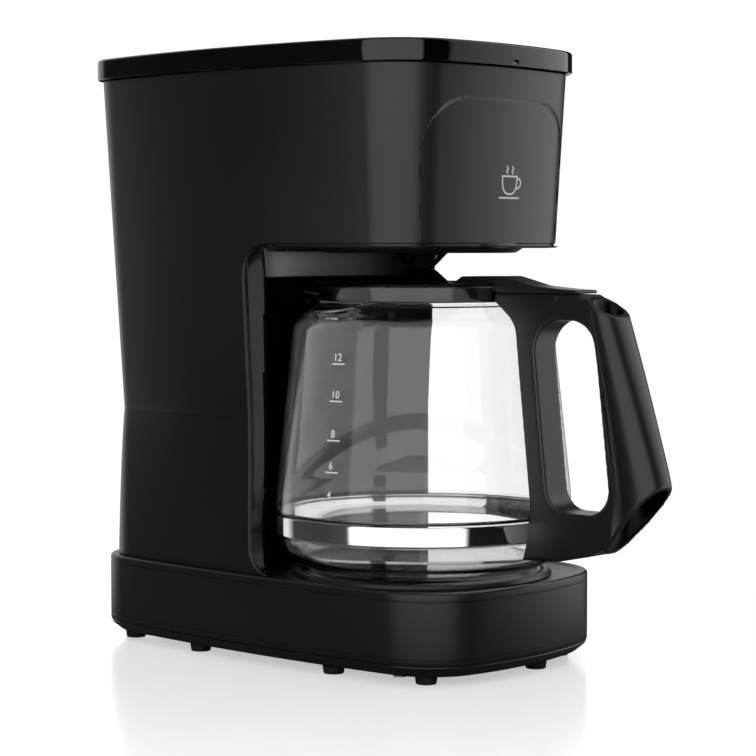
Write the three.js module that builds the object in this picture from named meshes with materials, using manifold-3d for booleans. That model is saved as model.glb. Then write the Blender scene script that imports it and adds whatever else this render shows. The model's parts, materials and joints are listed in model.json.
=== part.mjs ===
// Drip coffee maker with a glass carafe, built as separate pieces.
// Millimetres, +Z up. The table is z = 0, the front of the machine faces -Y, and the
// origin lies under the middle of the machine and its carafe handle.

import * as THREE from 'three';
import { mergeVertices } from 'three/addons/utils/BufferGeometryUtils.js';
import Module from 'manifold-3d';

const wasm = await Module();
wasm.setup();

// ---------------------------------------------------------------- driving dimensions

const GAP = 0.3;
const WALL = 2.5;

const BASE_PLAN = {
  halfWidth: 78.7, front: -93.5, back: 173.2,
  frontRadius: 187.7, sideRadius: 1024, backRadius: 3000, frontCorner: 41, backCorner: 31,
};
const LID_PLAN = {
  halfWidth: 88, front: -76.8, back: 176,
  frontRadius: 260, sideRadius: 516, backRadius: 3000, frontCorner: 40, backCorner: 30,
};

const BASE_BOTTOM = 10.9;
const BASE_TOP = 47.8;
const WAIST = 130.5;
const HEAD_BOTTOM = 223;
const BODY_TOP = 314;
const LID_BOTTOM = 314.3;
const LID_TOP = 326;
const LID_OVERHANG = 3.5;
const DRAFT = 0.058;
const TOWER_STEP = 4.6;
const FOOT_HEIGHT = 4.5;
const ORIGIN_SHIFT = -1.8;

const CARAFE_Y = -13;
const BAY_BACK = 43;
const BAY_RADIUS = 82.5;
const POCKET_TOP = 205.5;
const PLATE_TOP = 50.6;
const GLASS_BOTTOM = 51.0;
const NECK_TOP = 200;
const CARAFE_LID_TOP = 202.6;
const DOME_TOP = 209.4;
const HANDLE_HALF = 9.5;
const GRIP_HALF = 12.5;
const LID_PIN = { y: -109.5, z: 195 };
const LID_HINGE = { y: 172.6, z: 311.9 };
const RISER = { x: 52, y: 72 };
const HOSE_X = 25;
const ROCKER_TILT = 9;
const SPOUT = { halfAngle: 0.56, reach: 18, drop: 8 };
const BOTTOM_SCREWS = [[-62, -52], [62, -52], [-60, 136], [60, 136]];
const UNDERSIDE_SCREWS = [[-60, -34], [60, -34]];
const FEET = {
  foot_left_rear: [-57, 151], foot_left_back: [-64, 91], foot_left_middle: [-65, -9],
  foot_left_front: [-55.5, -64], foot_right_rear: [57, 151], foot_right_back: [64, 91],
  foot_right_middle: [65, -9], foot_right_front: [55.5, -64], foot_front: [16, -79],
};

// Water path, electrics and hinge positions.
const TUBE_Z = 35.7;
const TUBE_RADIUS = 42;
const HOSE_RADIUS = 7;
const HOSE_BORE = 4.8;
const OUTLET = { x: 30, y: 112 };
const GLAND = { x: -45, z: 24 };
const LID_KNUCKLE_X = 38.5;
const HANDLE_SCREW_Z = 74.7;
const ARCH = { low: 55.5, high: 59.5, top: 297, corner: 30, depth: 1 };

const LOOKS = {
  satin: [0x1a1a1c, 0.45, 0],
  gloss: [0x0b0b0c, 0.12, 0],
  inner: [0x2b2b2e, 0.6, 0],
  rubber: [0x101011, 0.9, 0],
  glass: [0xe8eef0, 0.03, 0],
  chrome: [0xd8d8da, 0.08, 1],
  steel: [0xb4b6b8, 0.35, 1],
  aluminium: [0xa9acb0, 0.45, 1],
  enamel: [0x141414, 0.35, 0.2],
  silicone: [0xd9d6cc, 0.7, 0],
  white: [0xe6e4dc, 0.5, 0],
  ceramic: [0xcfc7b5, 0.8, 0],
  red: [0xa01818, 0.3, 0],
};

// ---------------------------------------------------------------- solids

const machine = new THREE.Group();

function solid(geometry) {
  const bare = geometry.index ? geometry.toNonIndexed() : geometry.clone();
  bare.deleteAttribute('normal');
  bare.deleteAttribute('uv');
  const merged = mergeVertices(bare, 1e-4);
  const mesh = new wasm.Mesh({
    numProp: 3,
    vertProperties: new Float32Array(merged.attributes.position.array),
    triVerts: new Uint32Array(merged.index.array),
  });
  mesh.merge();
  return new wasm.Manifold(mesh);
}

function add(name, body, look) {
  const mesh = body.asOriginal().simplify(0.05).getMesh();
  const geometry = new THREE.BufferGeometry();
  geometry.setAttribute('position', new THREE.BufferAttribute(mesh.vertProperties, 3));
  geometry.setIndex(new THREE.BufferAttribute(mesh.triVerts, 1));
  geometry.computeVertexNormals();
  const [color, roughness, metalness] = LOOKS[look];
  const material = new THREE.MeshStandardMaterial({ color, roughness, metalness });
  const part = new THREE.Mesh(geometry, material);
  part.name = name;
  machine.add(part);
}

const join = (...bodies) => bodies.reduce((sum, body) => sum.add(body));
const cut = (body, ...tools) => tools.reduce((rest, tool) => rest.subtract(tool), body);

function box(x0, x1, y0, y1, z0, z1) {
  const block = new THREE.BoxGeometry(x1 - x0, y1 - y0, z1 - z0);
  block.translate((x0 + x1) / 2, (y0 + y1) / 2, (z0 + z1) / 2);
  return solid(block);
}

// A round post along Z, and round rods along X and Y.
function post(radius, z0, z1, x = 0, y = 0, sides = 20, top = radius) {
  const shape = new THREE.CylinderGeometry(top, radius, z1 - z0, sides);
  shape.rotateX(Math.PI / 2);
  shape.translate(x, y, (z0 + z1) / 2);
  return solid(shape);
}

function rodX(radius, x0, x1, y, z, sides = 16) {
  const shape = new THREE.CylinderGeometry(radius, radius, x1 - x0, sides);
  shape.rotateZ(Math.PI / 2);
  shape.translate((x0 + x1) / 2, y, z);
  return solid(shape);
}

function rodY(radius, y0, y1, x, z, sides = 16) {
  const shape = new THREE.CylinderGeometry(radius, radius, y1 - y0, sides);
  shape.translate(x, (y0 + y1) / 2, z);
  return solid(shape);
}

// A closed profile of [radius, height] points turned about a vertical axis.
function turned(profile, x = 0, y = CARAFE_Y, sides = 36) {
  const points = profile.map(([r, z]) => new THREE.Vector2(r, z));
  points.push(points[0].clone());
  const shape = new THREE.LatheGeometry(points, sides);
  shape.rotateX(Math.PI / 2);
  shape.translate(x, y, 0);
  const body = solid(shape);
  return body.volume() < 0 ? solid(flipped(shape)) : body;
}

function flipped(geometry) {
  const turnedOut = geometry.toNonIndexed();
  const p = turnedOut.attributes.position;
  for (let i = 0; i < p.count; i += 3) {
    for (const read of ['X', 'Y', 'Z']) {
      const kept = p[`get${read}`](i);
      p[`set${read}`](i, p[`get${read}`](i + 1));
      p[`set${read}`](i + 1, kept);
    }
  }
  return turnedOut;
}

// A polygon whose corners are [u, v, radius], each rounded by an arc.
function rounded(corners, step = Math.PI / 12) {
  const points = [];
  corners.forEach(([u, v, radius = 0], i) => {
    const here = new THREE.Vector2(u, v);
    const [pu, pv] = corners.at(i - 1);
    const [nu, nv] = corners[(i + 1) % corners.length];
    const back = new THREE.Vector2(pu, pv).sub(here).normalize();
    const on = new THREE.Vector2(nu, nv).sub(here).normalize();
    const half = Math.acos(THREE.MathUtils.clamp(back.dot(on), -1, 1)) / 2;
    const turn = Math.PI - 2 * half;
    if (radius === 0 || turn < 0.02) {
      points.push(here);
      return;
    }
    const middle = back.clone().add(on).normalize();
    const centre = middle.multiplyScalar(radius / Math.sin(half)).add(here);
    const start = here.clone().addScaledVector(back, radius / Math.tan(half)).sub(centre);
    const sense = Math.sign(back.cross(on)) * -1;
    const count = Math.max(1, Math.round(turn / step));
    for (let k = 0; k <= count; k += 1) {
      const p = start.clone().rotateAround(new THREE.Vector2(), (sense * turn * k) / count);
      points.push(p.add(centre));
    }
  });
  return points;
}

function slab(points, depth) {
  return new THREE.ExtrudeGeometry(new THREE.Shape(points), { depth, bevelEnabled: false, steps: 1 });
}

// Prisms of an outline in the YZ, XZ and XY planes.
function prismX(corners, x0, x1) {
  const axes = [new THREE.Vector3(0, 1, 0), new THREE.Vector3(0, 0, 1), new THREE.Vector3(1, 0, 0)];
  const shape = slab(rounded(corners), x1 - x0);
  shape.applyMatrix4(new THREE.Matrix4().makeBasis(...axes));
  shape.translate(x0, 0, 0);
  return solid(shape);
}

function prismY(corners, y0, y1) {
  const axes = [new THREE.Vector3(1, 0, 0), new THREE.Vector3(0, 0, 1), new THREE.Vector3(0, -1, 0)];
  const shape = slab(rounded(corners), y1 - y0);
  shape.applyMatrix4(new THREE.Matrix4().makeBasis(...axes));
  shape.translate(0, y1, 0);
  return solid(shape);
}

function prismZ(corners, z0, z1) {
  const shape = slab(rounded(corners), z1 - z0);
  shape.translate(0, 0, z0);
  return solid(shape);
}

// A round tube or wire along a smooth curve through the given [x, y, z] points.
function pipe(route, radius, sides = 12, steps = 40) {
  const curve = new THREE.CatmullRomCurve3(route.map((p) => new THREE.Vector3(...p)), false, 'centripetal');
  const section = new THREE.Shape().absarc(0, 0, radius, 0, 2 * Math.PI);
  const settings = { steps, extrudePath: curve, curveSegments: sides / 2 };
  return solid(new THREE.ExtrudeGeometry(section, settings));
}

// ---------------------------------------------------------------- plans and shells

const inset = (plan, d) => ({
  halfWidth: plan.halfWidth - d, front: plan.front + d, back: plan.back - d,
  frontRadius: plan.frontRadius - d, sideRadius: plan.sideRadius - d, backRadius: plan.backRadius - d,
  frontCorner: Math.max(plan.frontCorner - d, 2), backCorner: Math.max(plan.backCorner - d, 2),
});

function mixed(low, high, t) {
  const keys = Object.keys(low);
  return Object.fromEntries(keys.map((key) => [key, low[key] + (high[key] - low[key]) * t]));
}

// The centre of the corner arc that runs tangent inside two larger arcs.
function cornerCentre(c1, r1, c2, r2, side) {
  const between = c2.clone().sub(c1);
  const d = between.length();
  const along = (r1 * r1 - r2 * r2 + d * d) / (2 * d);
  const across = Math.sqrt(Math.max(r1 * r1 - along * along, 0));
  const dir = between.normalize();
  const base = c1.clone().addScaledVector(dir, along);
  const normal = new THREE.Vector2(-dir.y, dir.x);
  const options = [1, -1].map((s) => base.clone().addScaledVector(normal, s * across));
  return options.sort((a, b) => b.x + side * b.y - (a.x + side * a.y))[0];
}

// A plan outline, symmetric in X: front, corner, side, corner and back arcs, each tangent
// to the next.
function outline(plan, n = 5) {
  const { halfWidth, front, back, frontRadius, sideRadius, backRadius, frontCorner, backCorner } = plan;
  const cf = new THREE.Vector2(0, front + frontRadius);
  const cs = new THREE.Vector2(halfWidth - sideRadius, (front + back) / 2);
  const cb = new THREE.Vector2(0, back - backRadius);
  const pf = cornerCentre(cf, frontRadius - frontCorner, cs, sideRadius - frontCorner, -1);
  const pb = cornerCentre(cb, backRadius - backCorner, cs, sideRadius - backCorner, 1);
  const a1 = Math.atan2(pf.y - cf.y, pf.x - cf.x);
  const a2 = Math.atan2(pf.y - cs.y, pf.x - cs.x);
  const a3 = Math.atan2(pb.y - cs.y, pb.x - cs.x);
  const a4 = Math.atan2(pb.y - cb.y, pb.x - cb.x);
  const arcs = [
    [cf, frontRadius, -Math.PI / 2, a1, n], [pf, frontCorner, a1, a2, n],
    [cs, sideRadius, a2, a3, n], [pb, backCorner, a3, a4, n], [cb, backRadius, a4, Math.PI / 2, n],
  ];
  const right = [];
  for (const [c, r, from, to, count] of arcs) {
    for (let i = 0; i < count; i += 1) {
      const t = from + ((to - from) * i) / count;
      right.push(new THREE.Vector2(c.x + r * Math.cos(t), c.y + r * Math.sin(t)));
    }
  }
  right.push(new THREE.Vector2(0, back));
  const left = right.slice(1, -1).reverse().map((p) => new THREE.Vector2(-p.x, p.y));
  return [...right, ...left];
}

// A closed solid through a stack of outlines with the same number of points.
function loft(sections) {
  const count = sections[0][1].length;
  const positions = [];
  for (const [z, points] of sections) {
    for (const p of points) positions.push(p.x, p.y, z);
  }
  const index = [];
  for (let k = 0; k + 1 < sections.length; k += 1) {
    for (let i = 0; i < count; i += 1) {
      const a = k * count + i;
      const b = k * count + ((i + 1) % count);
      index.push(a, b, b + count, a, b + count, a + count);
    }
  }
  const last = (sections.length - 1) * count;
  for (let i = 1; i + 1 < count; i += 1) {
    index.push(0, i + 1, i, last, last + i, last + i + 1);
  }
  const geometry = new THREE.BufferGeometry();
  geometry.setAttribute('position', new THREE.Float32BufferAttribute(positions, 3));
  geometry.setIndex(index);
  return solid(geometry);
}

const stack = (levels) => loft(levels.map(([z, plan]) => [z, outline(plan)]));

const bodyTopPlan = inset(LID_PLAN, LID_OVERHANG);
const waistPlan = inset(LID_PLAN, LID_OVERHANG + DRAFT * (BODY_TOP - WAIST));
const towerFootPlan = inset(BASE_PLAN, TOWER_STEP);

function bodyPlan(z) {
  if (z >= WAIST) return mixed(waistPlan, bodyTopPlan, (z - WAIST) / (BODY_TOP - WAIST));
  return mixed(towerFootPlan, waistPlan, (z - BASE_TOP) / (WAIST - BASE_TOP));
}

const bodySolid = (z0, z1, d) => stack([z0, ...(z0 < WAIST && z1 > WAIST ? [WAIST] : []), z1]
  .map((z) => [z, inset(bodyPlan(z), d)]));

// The space in front of the tower and under the head, seen from the side.
const bayProfile = (grow) => [
  [-220, BASE_TOP - 30, 0], [24, BASE_TOP - 30, 0], [24, BASE_TOP - grow, 0],
  [BAY_BACK + grow, BASE_TOP - grow, 14 + grow],
  [BAY_BACK + grow, HEAD_BOTTOM + grow, 18 + grow], [-220, HEAD_BOTTOM + grow, 0],
];
const bay = prismX(bayProfile(0), -120, 120);

// ---------------------------------------------------------------- base

function makeBase() {
  const outer = stack([
    [BASE_BOTTOM, BASE_PLAN], [BASE_TOP - 1.2, BASE_PLAN], [BASE_TOP, inset(BASE_PLAN, 1.2)],
  ]);
  const inner = stack([[0, inset(BASE_PLAN, WALL)], [BASE_TOP - WALL, inset(BASE_PLAN, WALL)]]);
  const dish = stack([
    [BASE_TOP - 1, inset(BASE_PLAN, 5.2)], [BASE_TOP + 1, inset(BASE_PLAN, 3.8)],
  ]);
  const dishArea = box(-80, 80, -100, BAY_BACK - 14, BASE_TOP - 2, BASE_TOP + 2);
  const deck = cut(outer, inner, dish.intersect(dishArea));
  const raised = turned([[61.6, 43], [70, 43], [70, BASE_TOP + 0.6], [68.6, BASE_TOP + 1.6],
    [66, BASE_TOP + 1.6], [66, 45.4], [61.6, 45.4]]);
  const body = cut(
    join(deck, raised),
    post(61.6, 40, 60, 0, CARAFE_Y, 36),
    post(66, 45.4, 60, 0, CARAFE_Y, 36),
    prismZ([[-62, 78, 8], [62, 78, 8], [62, 150, 8], [-62, 150, 8]], 40, 60),
    box(BASE_PLAN.halfWidth - 4, BASE_PLAN.halfWidth + 1.3, 6, 28, 20.2, 37.8),
    rodY(5.3, 160, 185, GLAND.x, GLAND.z),
  );
  const bosses = [];
  for (const [x, y] of BOTTOM_SCREWS) {
    bosses.push(cut(post(4.2, 12, BASE_TOP - WALL + 0.2, x, y, 12), post(1.4, 6, 30, x, y, 8)));
  }
  add('base_housing', join(body, ...bosses), 'satin');
}

function makeBottom() {
  const low = inset(BASE_PLAN, 6.2);
  const lip = inset(BASE_PLAN, 0.4);
  const outer = stack([[FOOT_HEIGHT, low], [BASE_BOTTOM - GAP, lip]]);
  const tray = stack([[FOOT_HEIGHT + 2.2, inset(low, 2.4)], [BASE_BOTTOM + 1, inset(lip, 2.6)]]);
  const holes = BOTTOM_SCREWS.flatMap(([x, y]) => [
    post(1.8, 0, 20, x, y, 10), post(3.9, 0, FOOT_HEIGHT + 0.4, x, y, 12),
  ]);
  const pads = BOTTOM_SCREWS.map(([x, y]) => post(5.2, FOOT_HEIGHT + 1, BASE_BOTTOM - 0.5, x, y, 12));
  const vents = [0, 1, 2, 3, 4].map((i) => prismZ(
    [[-14, -30 + 12 * i], [14, -30 + 12 * i], [14, -26 + 12 * i], [-14, -26 + 12 * i]],
    0, 10,
  ));
  add('bottom_cover', cut(join(cut(outer, tray), ...pads), ...holes, ...vents), 'satin');
  BOTTOM_SCREWS.forEach(([x, y], i) => {
    const head = post(3.4, FOOT_HEIGHT + 0.7 - 2, FOOT_HEIGHT + 0.4 - GAP, x, y, 12);
    const shank = post(1.3, FOOT_HEIGHT - 0.5, 26, x, y, 8);
    const cross = [
      box(x - 2, x + 2, y - 0.4, y + 0.4, 0, 3.9),
      box(x - 0.4, x + 0.4, y - 2, y + 2, 0, 3.9),
    ];
    add(`bottom_screw_${i + 1}`, cut(join(head, shank), ...cross), 'steel');
  });
  for (const [name, [x, y]] of Object.entries(FEET)) {
    add(name, post(5.7, 0, FOOT_HEIGHT - GAP, x, y, 16, 6), 'rubber');
  }
}

function makeHotPlate() {
  const top = PLATE_TOP;
  add('hot_plate', turned([
    [0, top - 1.8], [25, top - 1.8], [26, top - 1.2], [60.5, top - 1.2], [62.2, top - 2.8],
    [64.6, top - 2.8], [64.6, top - 1.6], [62.8, top - 1.6], [61.2, top], [27, top], [26, top - 0.6],
    [0, top - 0.6],
  ]), 'enamel');
  add('plate_gasket', turned([
    [62.6, 45.7], [65.6, 45.7], [65.6, top - 3.1], [62.6, top - 3.1],
  ]), 'silicone');
  const horseshoe = (radius, z, tail) => {
    const route = [];
    const steps = 14;
    const open = 0.7;
    const from = Math.PI / 2 + open;
    const sweep = 2 * Math.PI - 2 * open;
    for (let i = 0; i <= steps; i += 1) {
      const a = from + (sweep * i) / steps;
      route.push([TUBE_RADIUS * Math.cos(a), CARAFE_Y + TUBE_RADIUS * Math.sin(a), z]);
    }
    for (const y of tail) {
      route.unshift([-HOSE_X, y, z]);
      route.push([HOSE_X, y, z]);
    }
    return pipe(route, radius, 8, 36);
  };
  add('heating_element', horseshoe(3.9, 44.3, [31, 38]), 'aluminium');
  add('water_tube', horseshoe(4.4, TUBE_Z, [31, 40, 50, 62]), 'aluminium');
  const strap = cut(
    box(-52, 52, CARAFE_Y - 7, CARAFE_Y + 7, 29.2, 30.9),
    post(2.4, 20, 40, 0, CARAFE_Y, 16),
  );
  add('element_strap', strap, 'steel');
  const stud = join(post(2.1, 26, top - 2.1, 0, CARAFE_Y, 16), post(4, 26, 28.9, 0, CARAFE_Y, 6));
  add('strap_screw', stud, 'steel');
  const thermostat = join(post(8.2, 21.5, 28.9, 24, CARAFE_Y, 28), box(13.5, 34.5, -16, -10, 27.8, 28.9));
  add('thermostat', thermostat, 'ceramic');
  add('thermal_fuse', rodY(2.6, -26, 0, -26, 26, 16), 'steel');
}

function makeHoses() {
  const x = HOSE_X;
  const z = TUBE_Z;
  const up = x + 5;
  add('inlet_hose', cut(
    pipe([
      [x, 50, z], [x, 56, z], [x, 64, z], [x + 3, 82, 37], [x + 6, 104, 45], [x + 6, OUTLET.y, 66],
      [up, OUTLET.y, 96], [up, OUTLET.y, 131],
    ], HOSE_RADIUS, 10, 22),
    pipe([[x, 49, z], [x, 60, z], [x, 63, z]], HOSE_BORE, 10, 3),
    pipe([[up, OUTLET.y, 115], [up, OUTLET.y, 124], [up, OUTLET.y, 132]], HOSE_BORE, 10, 3),
  ), 'silicone');
  const [rx, ry] = [-RISER.x, RISER.y];
  add('outlet_hose', cut(
    pipe([
      [-x, 50, z], [-x, 56, z], [-x, 64, z], [-x - 8, 82, 38], [-x - 20, 91, 48],
      [rx, ry + 14, 63], [rx, ry + 1, 82], [rx, ry, 94], [rx, ry, 104],
    ], HOSE_RADIUS, 10, 22),
    pipe([[-x, 49, z], [-x, 60, z], [-x, 63, z]], HOSE_BORE, 10, 3),
    pipe([[rx, ry, 90], [rx, ry, 98], [rx, ry, 105]], HOSE_BORE, 10, 3),
  ), 'silicone');
  const clampAt = (name, cx) => {
    const ring = cut(rodY(8.5, 54.5, 59.5, cx, z, 24), rodY(7.4, 50, 62, cx, z, 24));
    add(name, join(ring, box(cx - 1.5, cx + 1.5, 54.5, 59.5, 43.4, 45)), 'steel');
  };
  clampAt('inlet_clamp', x);
  clampAt('outlet_clamp', -x);
  add('riser_tube', cut(
    post(4.4, 92, 298, rx, ry, 20),
    post(3, 90, 299, rx, ry, 16),
  ), 'white');
}

function makeElectrics() {
  const x = BASE_PLAN.halfWidth;
  const window = box(x - 9, x + 2, 8.6, 25.4, 22.8, 35.2);
  const frame = box(x - 22, x + 0.6, 6.4, 27.6, 20.6, 37.4);
  const bezel = prismX([[4, 18.2, 3], [30, 18.2, 3], [30, 39.8, 3], [4, 39.8, 3]], x + 0.3, x + 1.5);
  const pivot = { x: x - 3.2, z: 29 };
  const pivotBore = rodY(1.3, 7.4, 26.6, pivot.x, pivot.z, 12);
  add('switch_body', cut(join(frame, bezel), window, pivotBore), 'inner');
  const tilt = THREE.MathUtils.degToRad(ROCKER_TILT);
  const length = 15.6;
  const face = rounded([[-5.6, 0, 0], [5.6, 0, 0], [5.6, 3.6, 1], [0, 2.4, 0], [-5.6, 3.6, 1]]);
  const paddle = slab(face, length);
  paddle.applyMatrix4(new THREE.Matrix4().makeBasis(
    new THREE.Vector3(0, 0, 1), new THREE.Vector3(1, 0, 0), new THREE.Vector3(0, 1, 0),
  ));
  paddle.applyMatrix4(new THREE.Matrix4().makeRotationY(tilt));
  paddle.translate(pivot.x, 17 - length / 2, pivot.z);
  add('power_rocker', join(solid(paddle), rodY(1.2, 7.6, 26.4, pivot.x, pivot.z, 12)), 'satin');
  const terminal = cut(
    box(-62, -38, 96, 120, 12, 26),
    ...[-56, -50, -44].map((cx) => post(1.7, 18, 30, cx, 108, 12)),
  );
  add('terminal_block', terminal, 'white');
  const glandRod = (radius, y0, y1) => rodY(radius, y0, y1, GLAND.x, GLAND.z);
  const gland = join(glandRod(5, 165, 175.6), glandRod(7.4, 165.4, 168.4), glandRod(7.4, 173.6, 175.6));
  add('cord_gland', cut(gland, glandRod(3.1, 150, 190)), 'rubber');
  add('wire_live', pipe([
    [55.5, 14, 26], [46, 20, 18], [20, 40, 13], [-20, 84, 13], [-40, 92, 14], [-44, 94.2, 19],
  ], 1.3, 8, 28), 'red');
  add('wire_neutral', pipe([
    [-26, 1, 26], [-30, 20, 20], [-46, 60, 14], [-52, 84, 14], [-50, 95.2, 19],
  ], 1.3, 8, 24), 'white');
}

// ---------------------------------------------------------------- tower and head

function makeHousings() {
  const lower = bodySolid(BASE_TOP + GAP, WAIST - GAP / 2, 0);
  add('lower_tower', cut(lower, bodySolid(BASE_TOP - 5, WAIST + 2, WALL), bay), 'satin');

  const skin = bodySolid(WAIST + GAP / 2, BODY_TOP, 0);
  const hollow = bodySolid(WAIST - 4, BODY_TOP + 4, WALL);
  const arch = prismY([
    [-ARCH.low, HEAD_BOTTOM - 4, 0], [ARCH.low, HEAD_BOTTOM - 4, 0],
    [ARCH.high, ARCH.top, ARCH.corner], [-ARCH.high, ARCH.top, ARCH.corner],
  ], -90, -30).subtract(bodySolid(HEAD_BOTTOM - 10, BODY_TOP, ARCH.depth));
  const ears = [];
  const notches = [];
  for (const s of [-1, 1]) {
    const x = LID_KNUCKLE_X * s;
    const side = [[167.5, 305.5, 0], [173.8, 308.6, 2], [174.8, 313.6, 1.6], [167.5, 313.8, 0]];
    ears.push(prismX(side, x - 7.5, x + 7.5));
    notches.push(box(x - 2.8, x + 2.8, 160, 182, 308, 320));
    notches.push(rodX(1.3, x - 8.5, x + 8.5, LID_HINGE.y, LID_HINGE.z, 16));
  }
  const overflow = prismY([[-9, 299, 1.5], [9, 299, 1.5], [9, 302.5, 1.5], [-9, 302.5, 1.5]], 150, 190);
  const plainEars = join(...ears).subtract(bodySolid(WAIST, BODY_TOP + 4, WALL));
  add('upper_housing', cut(join(cut(skin, hollow, bay), plainEars), arch, overflow, ...notches), 'satin');

  const room = bodySolid(BASE_TOP + GAP, HEAD_BOTTOM - GAP, WALL + GAP);
  const band = prismX(bayProfile(WALL), -120, 120).subtract(prismX(bayProfile(0), -130, 130));
  const low = BASE_TOP + GAP;
  const pocket = turned([
    [BAY_RADIUS, low], [BAY_RADIUS + WALL, low], [BAY_RADIUS + WALL, POCKET_TOP + WALL],
    [0, POCKET_TOP + WALL], [0, POCKET_TOP], [BAY_RADIUS, POCKET_TOP],
  ], 0, CARAFE_Y, 60);
  const high = HEAD_BOTTOM - GAP;
  const rim = room.intersect(band).intersect(box(-120, 120, 24, 120, low, high));
  const curved = pocket.intersect(box(-120, 120, BAY_BACK + 0.2, 120, low, high)).intersect(room);
  const clear = post(BAY_RADIUS, low - 5, POCKET_TOP, 0, CARAFE_Y, 60);
  add('bay_liner', join(rim, curved).subtract(clear), 'satin');
}

function makeHeadUnderside() {
  const z = HEAD_BOTTOM - GAP;
  const edge = bodySolid(z - 2, z, WALL + GAP);
  const back = 27;
  const front = box(-100, 100, -100, back, 200, 240);
  const dish = turned([
    [0, z - 4.6], [30, z - 4.4], [52, z - 2.9], [54, z - 0.4], [52, z - 0.4], [30, z - 2], [0, z - 2.2],
  ]).intersect(front);
  const dishBack = box(-34, 34, back - 1.5, back, z - 3.2, z);
  const flat = cut(edge.intersect(front), post(53, 200, 240, 0, CARAFE_Y, 48));
  const opening = post(15.2, 200, 240, 0, CARAFE_Y, 32);
  const screwHoles = UNDERSIDE_SCREWS.flatMap(([x, y]) => [
    post(1.9, 200, 240, x, y, 12), post(3.6, 200, z - 0.8, x, y, 12),
  ]);
  add('head_underside', cut(join(flat, dish, dishBack), opening, ...screwHoles), 'satin');
  const bosses = UNDERSIDE_SCREWS.map(([x, y]) => post(4, z + GAP, z + 16, x, y, 16));
  const bossHoles = UNDERSIDE_SCREWS.map(([x, y]) => post(1.4, z - 4, z + 12, x, y, 12));
  UNDERSIDE_SCREWS.forEach(([x, y], i) => {
    const head = post(3.2, z - 2, z - 0.9, x, y, 12);
    add(`underside_screw_${i + 1}`, join(head, post(1.3, z - 1.5, z + 9, x, y, 8)), 'steel');
  });
  const well = turned([
    [13.4, z + GAP], [44.6, z + GAP], [54.6, 301], [56.4, 301], [56.4, 303], [52.6, 303],
    [52.6, 300], [42.8, z + 2.5], [13.4, z + 2.5],
  ]).intersect(bodySolid(z, 305, WALL + 0.5));
  const shelf = cut(
    bodySolid(z + GAP, z + 2.3, WALL + 0.8).intersect(box(-100, 100, -100, 56, 200, 240)),
    post(40, 200, 240, 0, CARAFE_Y, 48),
    post(10, 200, 240, -RISER.x, RISER.y, 20),
  );
  add('brew_well', cut(join(well, shelf, ...bosses), ...bossHoles), 'inner');
}

function makeReservoir() {
  const z0 = 140;
  const z1 = 309;
  const front = 83;
  const rear = box(-120, 120, front, 200, z0, z1);
  const hollow = box(-120, 120, front + 2.2, 200, z0 + 2.4, z1 + 5);
  const shape = bodySolid(z0, z1, WALL + 0.8).intersect(rear);
  const space = bodySolid(z0 - 1, z1 + 5, WALL + 3).intersect(hollow);
  const { x, y } = OUTLET;
  const nipple = post(4.5, z0 - 22, z0 + 1, x, y, 20);
  const overflow = prismY([[-8, 300, 1], [8, 300, 1], [8, 302, 1], [-8, 302, 1]], 150, 190);
  const bore = post(3.2, z0 - 30, z0 + 5, x, y, 16);
  add('water_reservoir', cut(join(cut(shape, space), nipple), bore, overflow), 'inner');
  add('check_valve', cut(
    join(post(2.9, z0 - 10, z0 + 3, x, y, 16), post(5, z0 + 2.8, z0 + 5, x, y, 20)),
    post(1.4, z0 - 12, z0 + 3.4, x, y, 12),
  ), 'silicone');
  const strainer = cut(
    post(11, z0 + 5.4, z0 + 9, x, y, 28),
    post(9.6, z0 + 5, z0 + 7.8, x, y, 28),
    ...[-6, -3, 0, 3, 6].map((d) => box(x - 8, x + 8, y + d - 0.6, y + d + 0.6, z0, z0 + 12)),
  );
  add('inlet_strainer', strainer, 'white');
}

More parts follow.
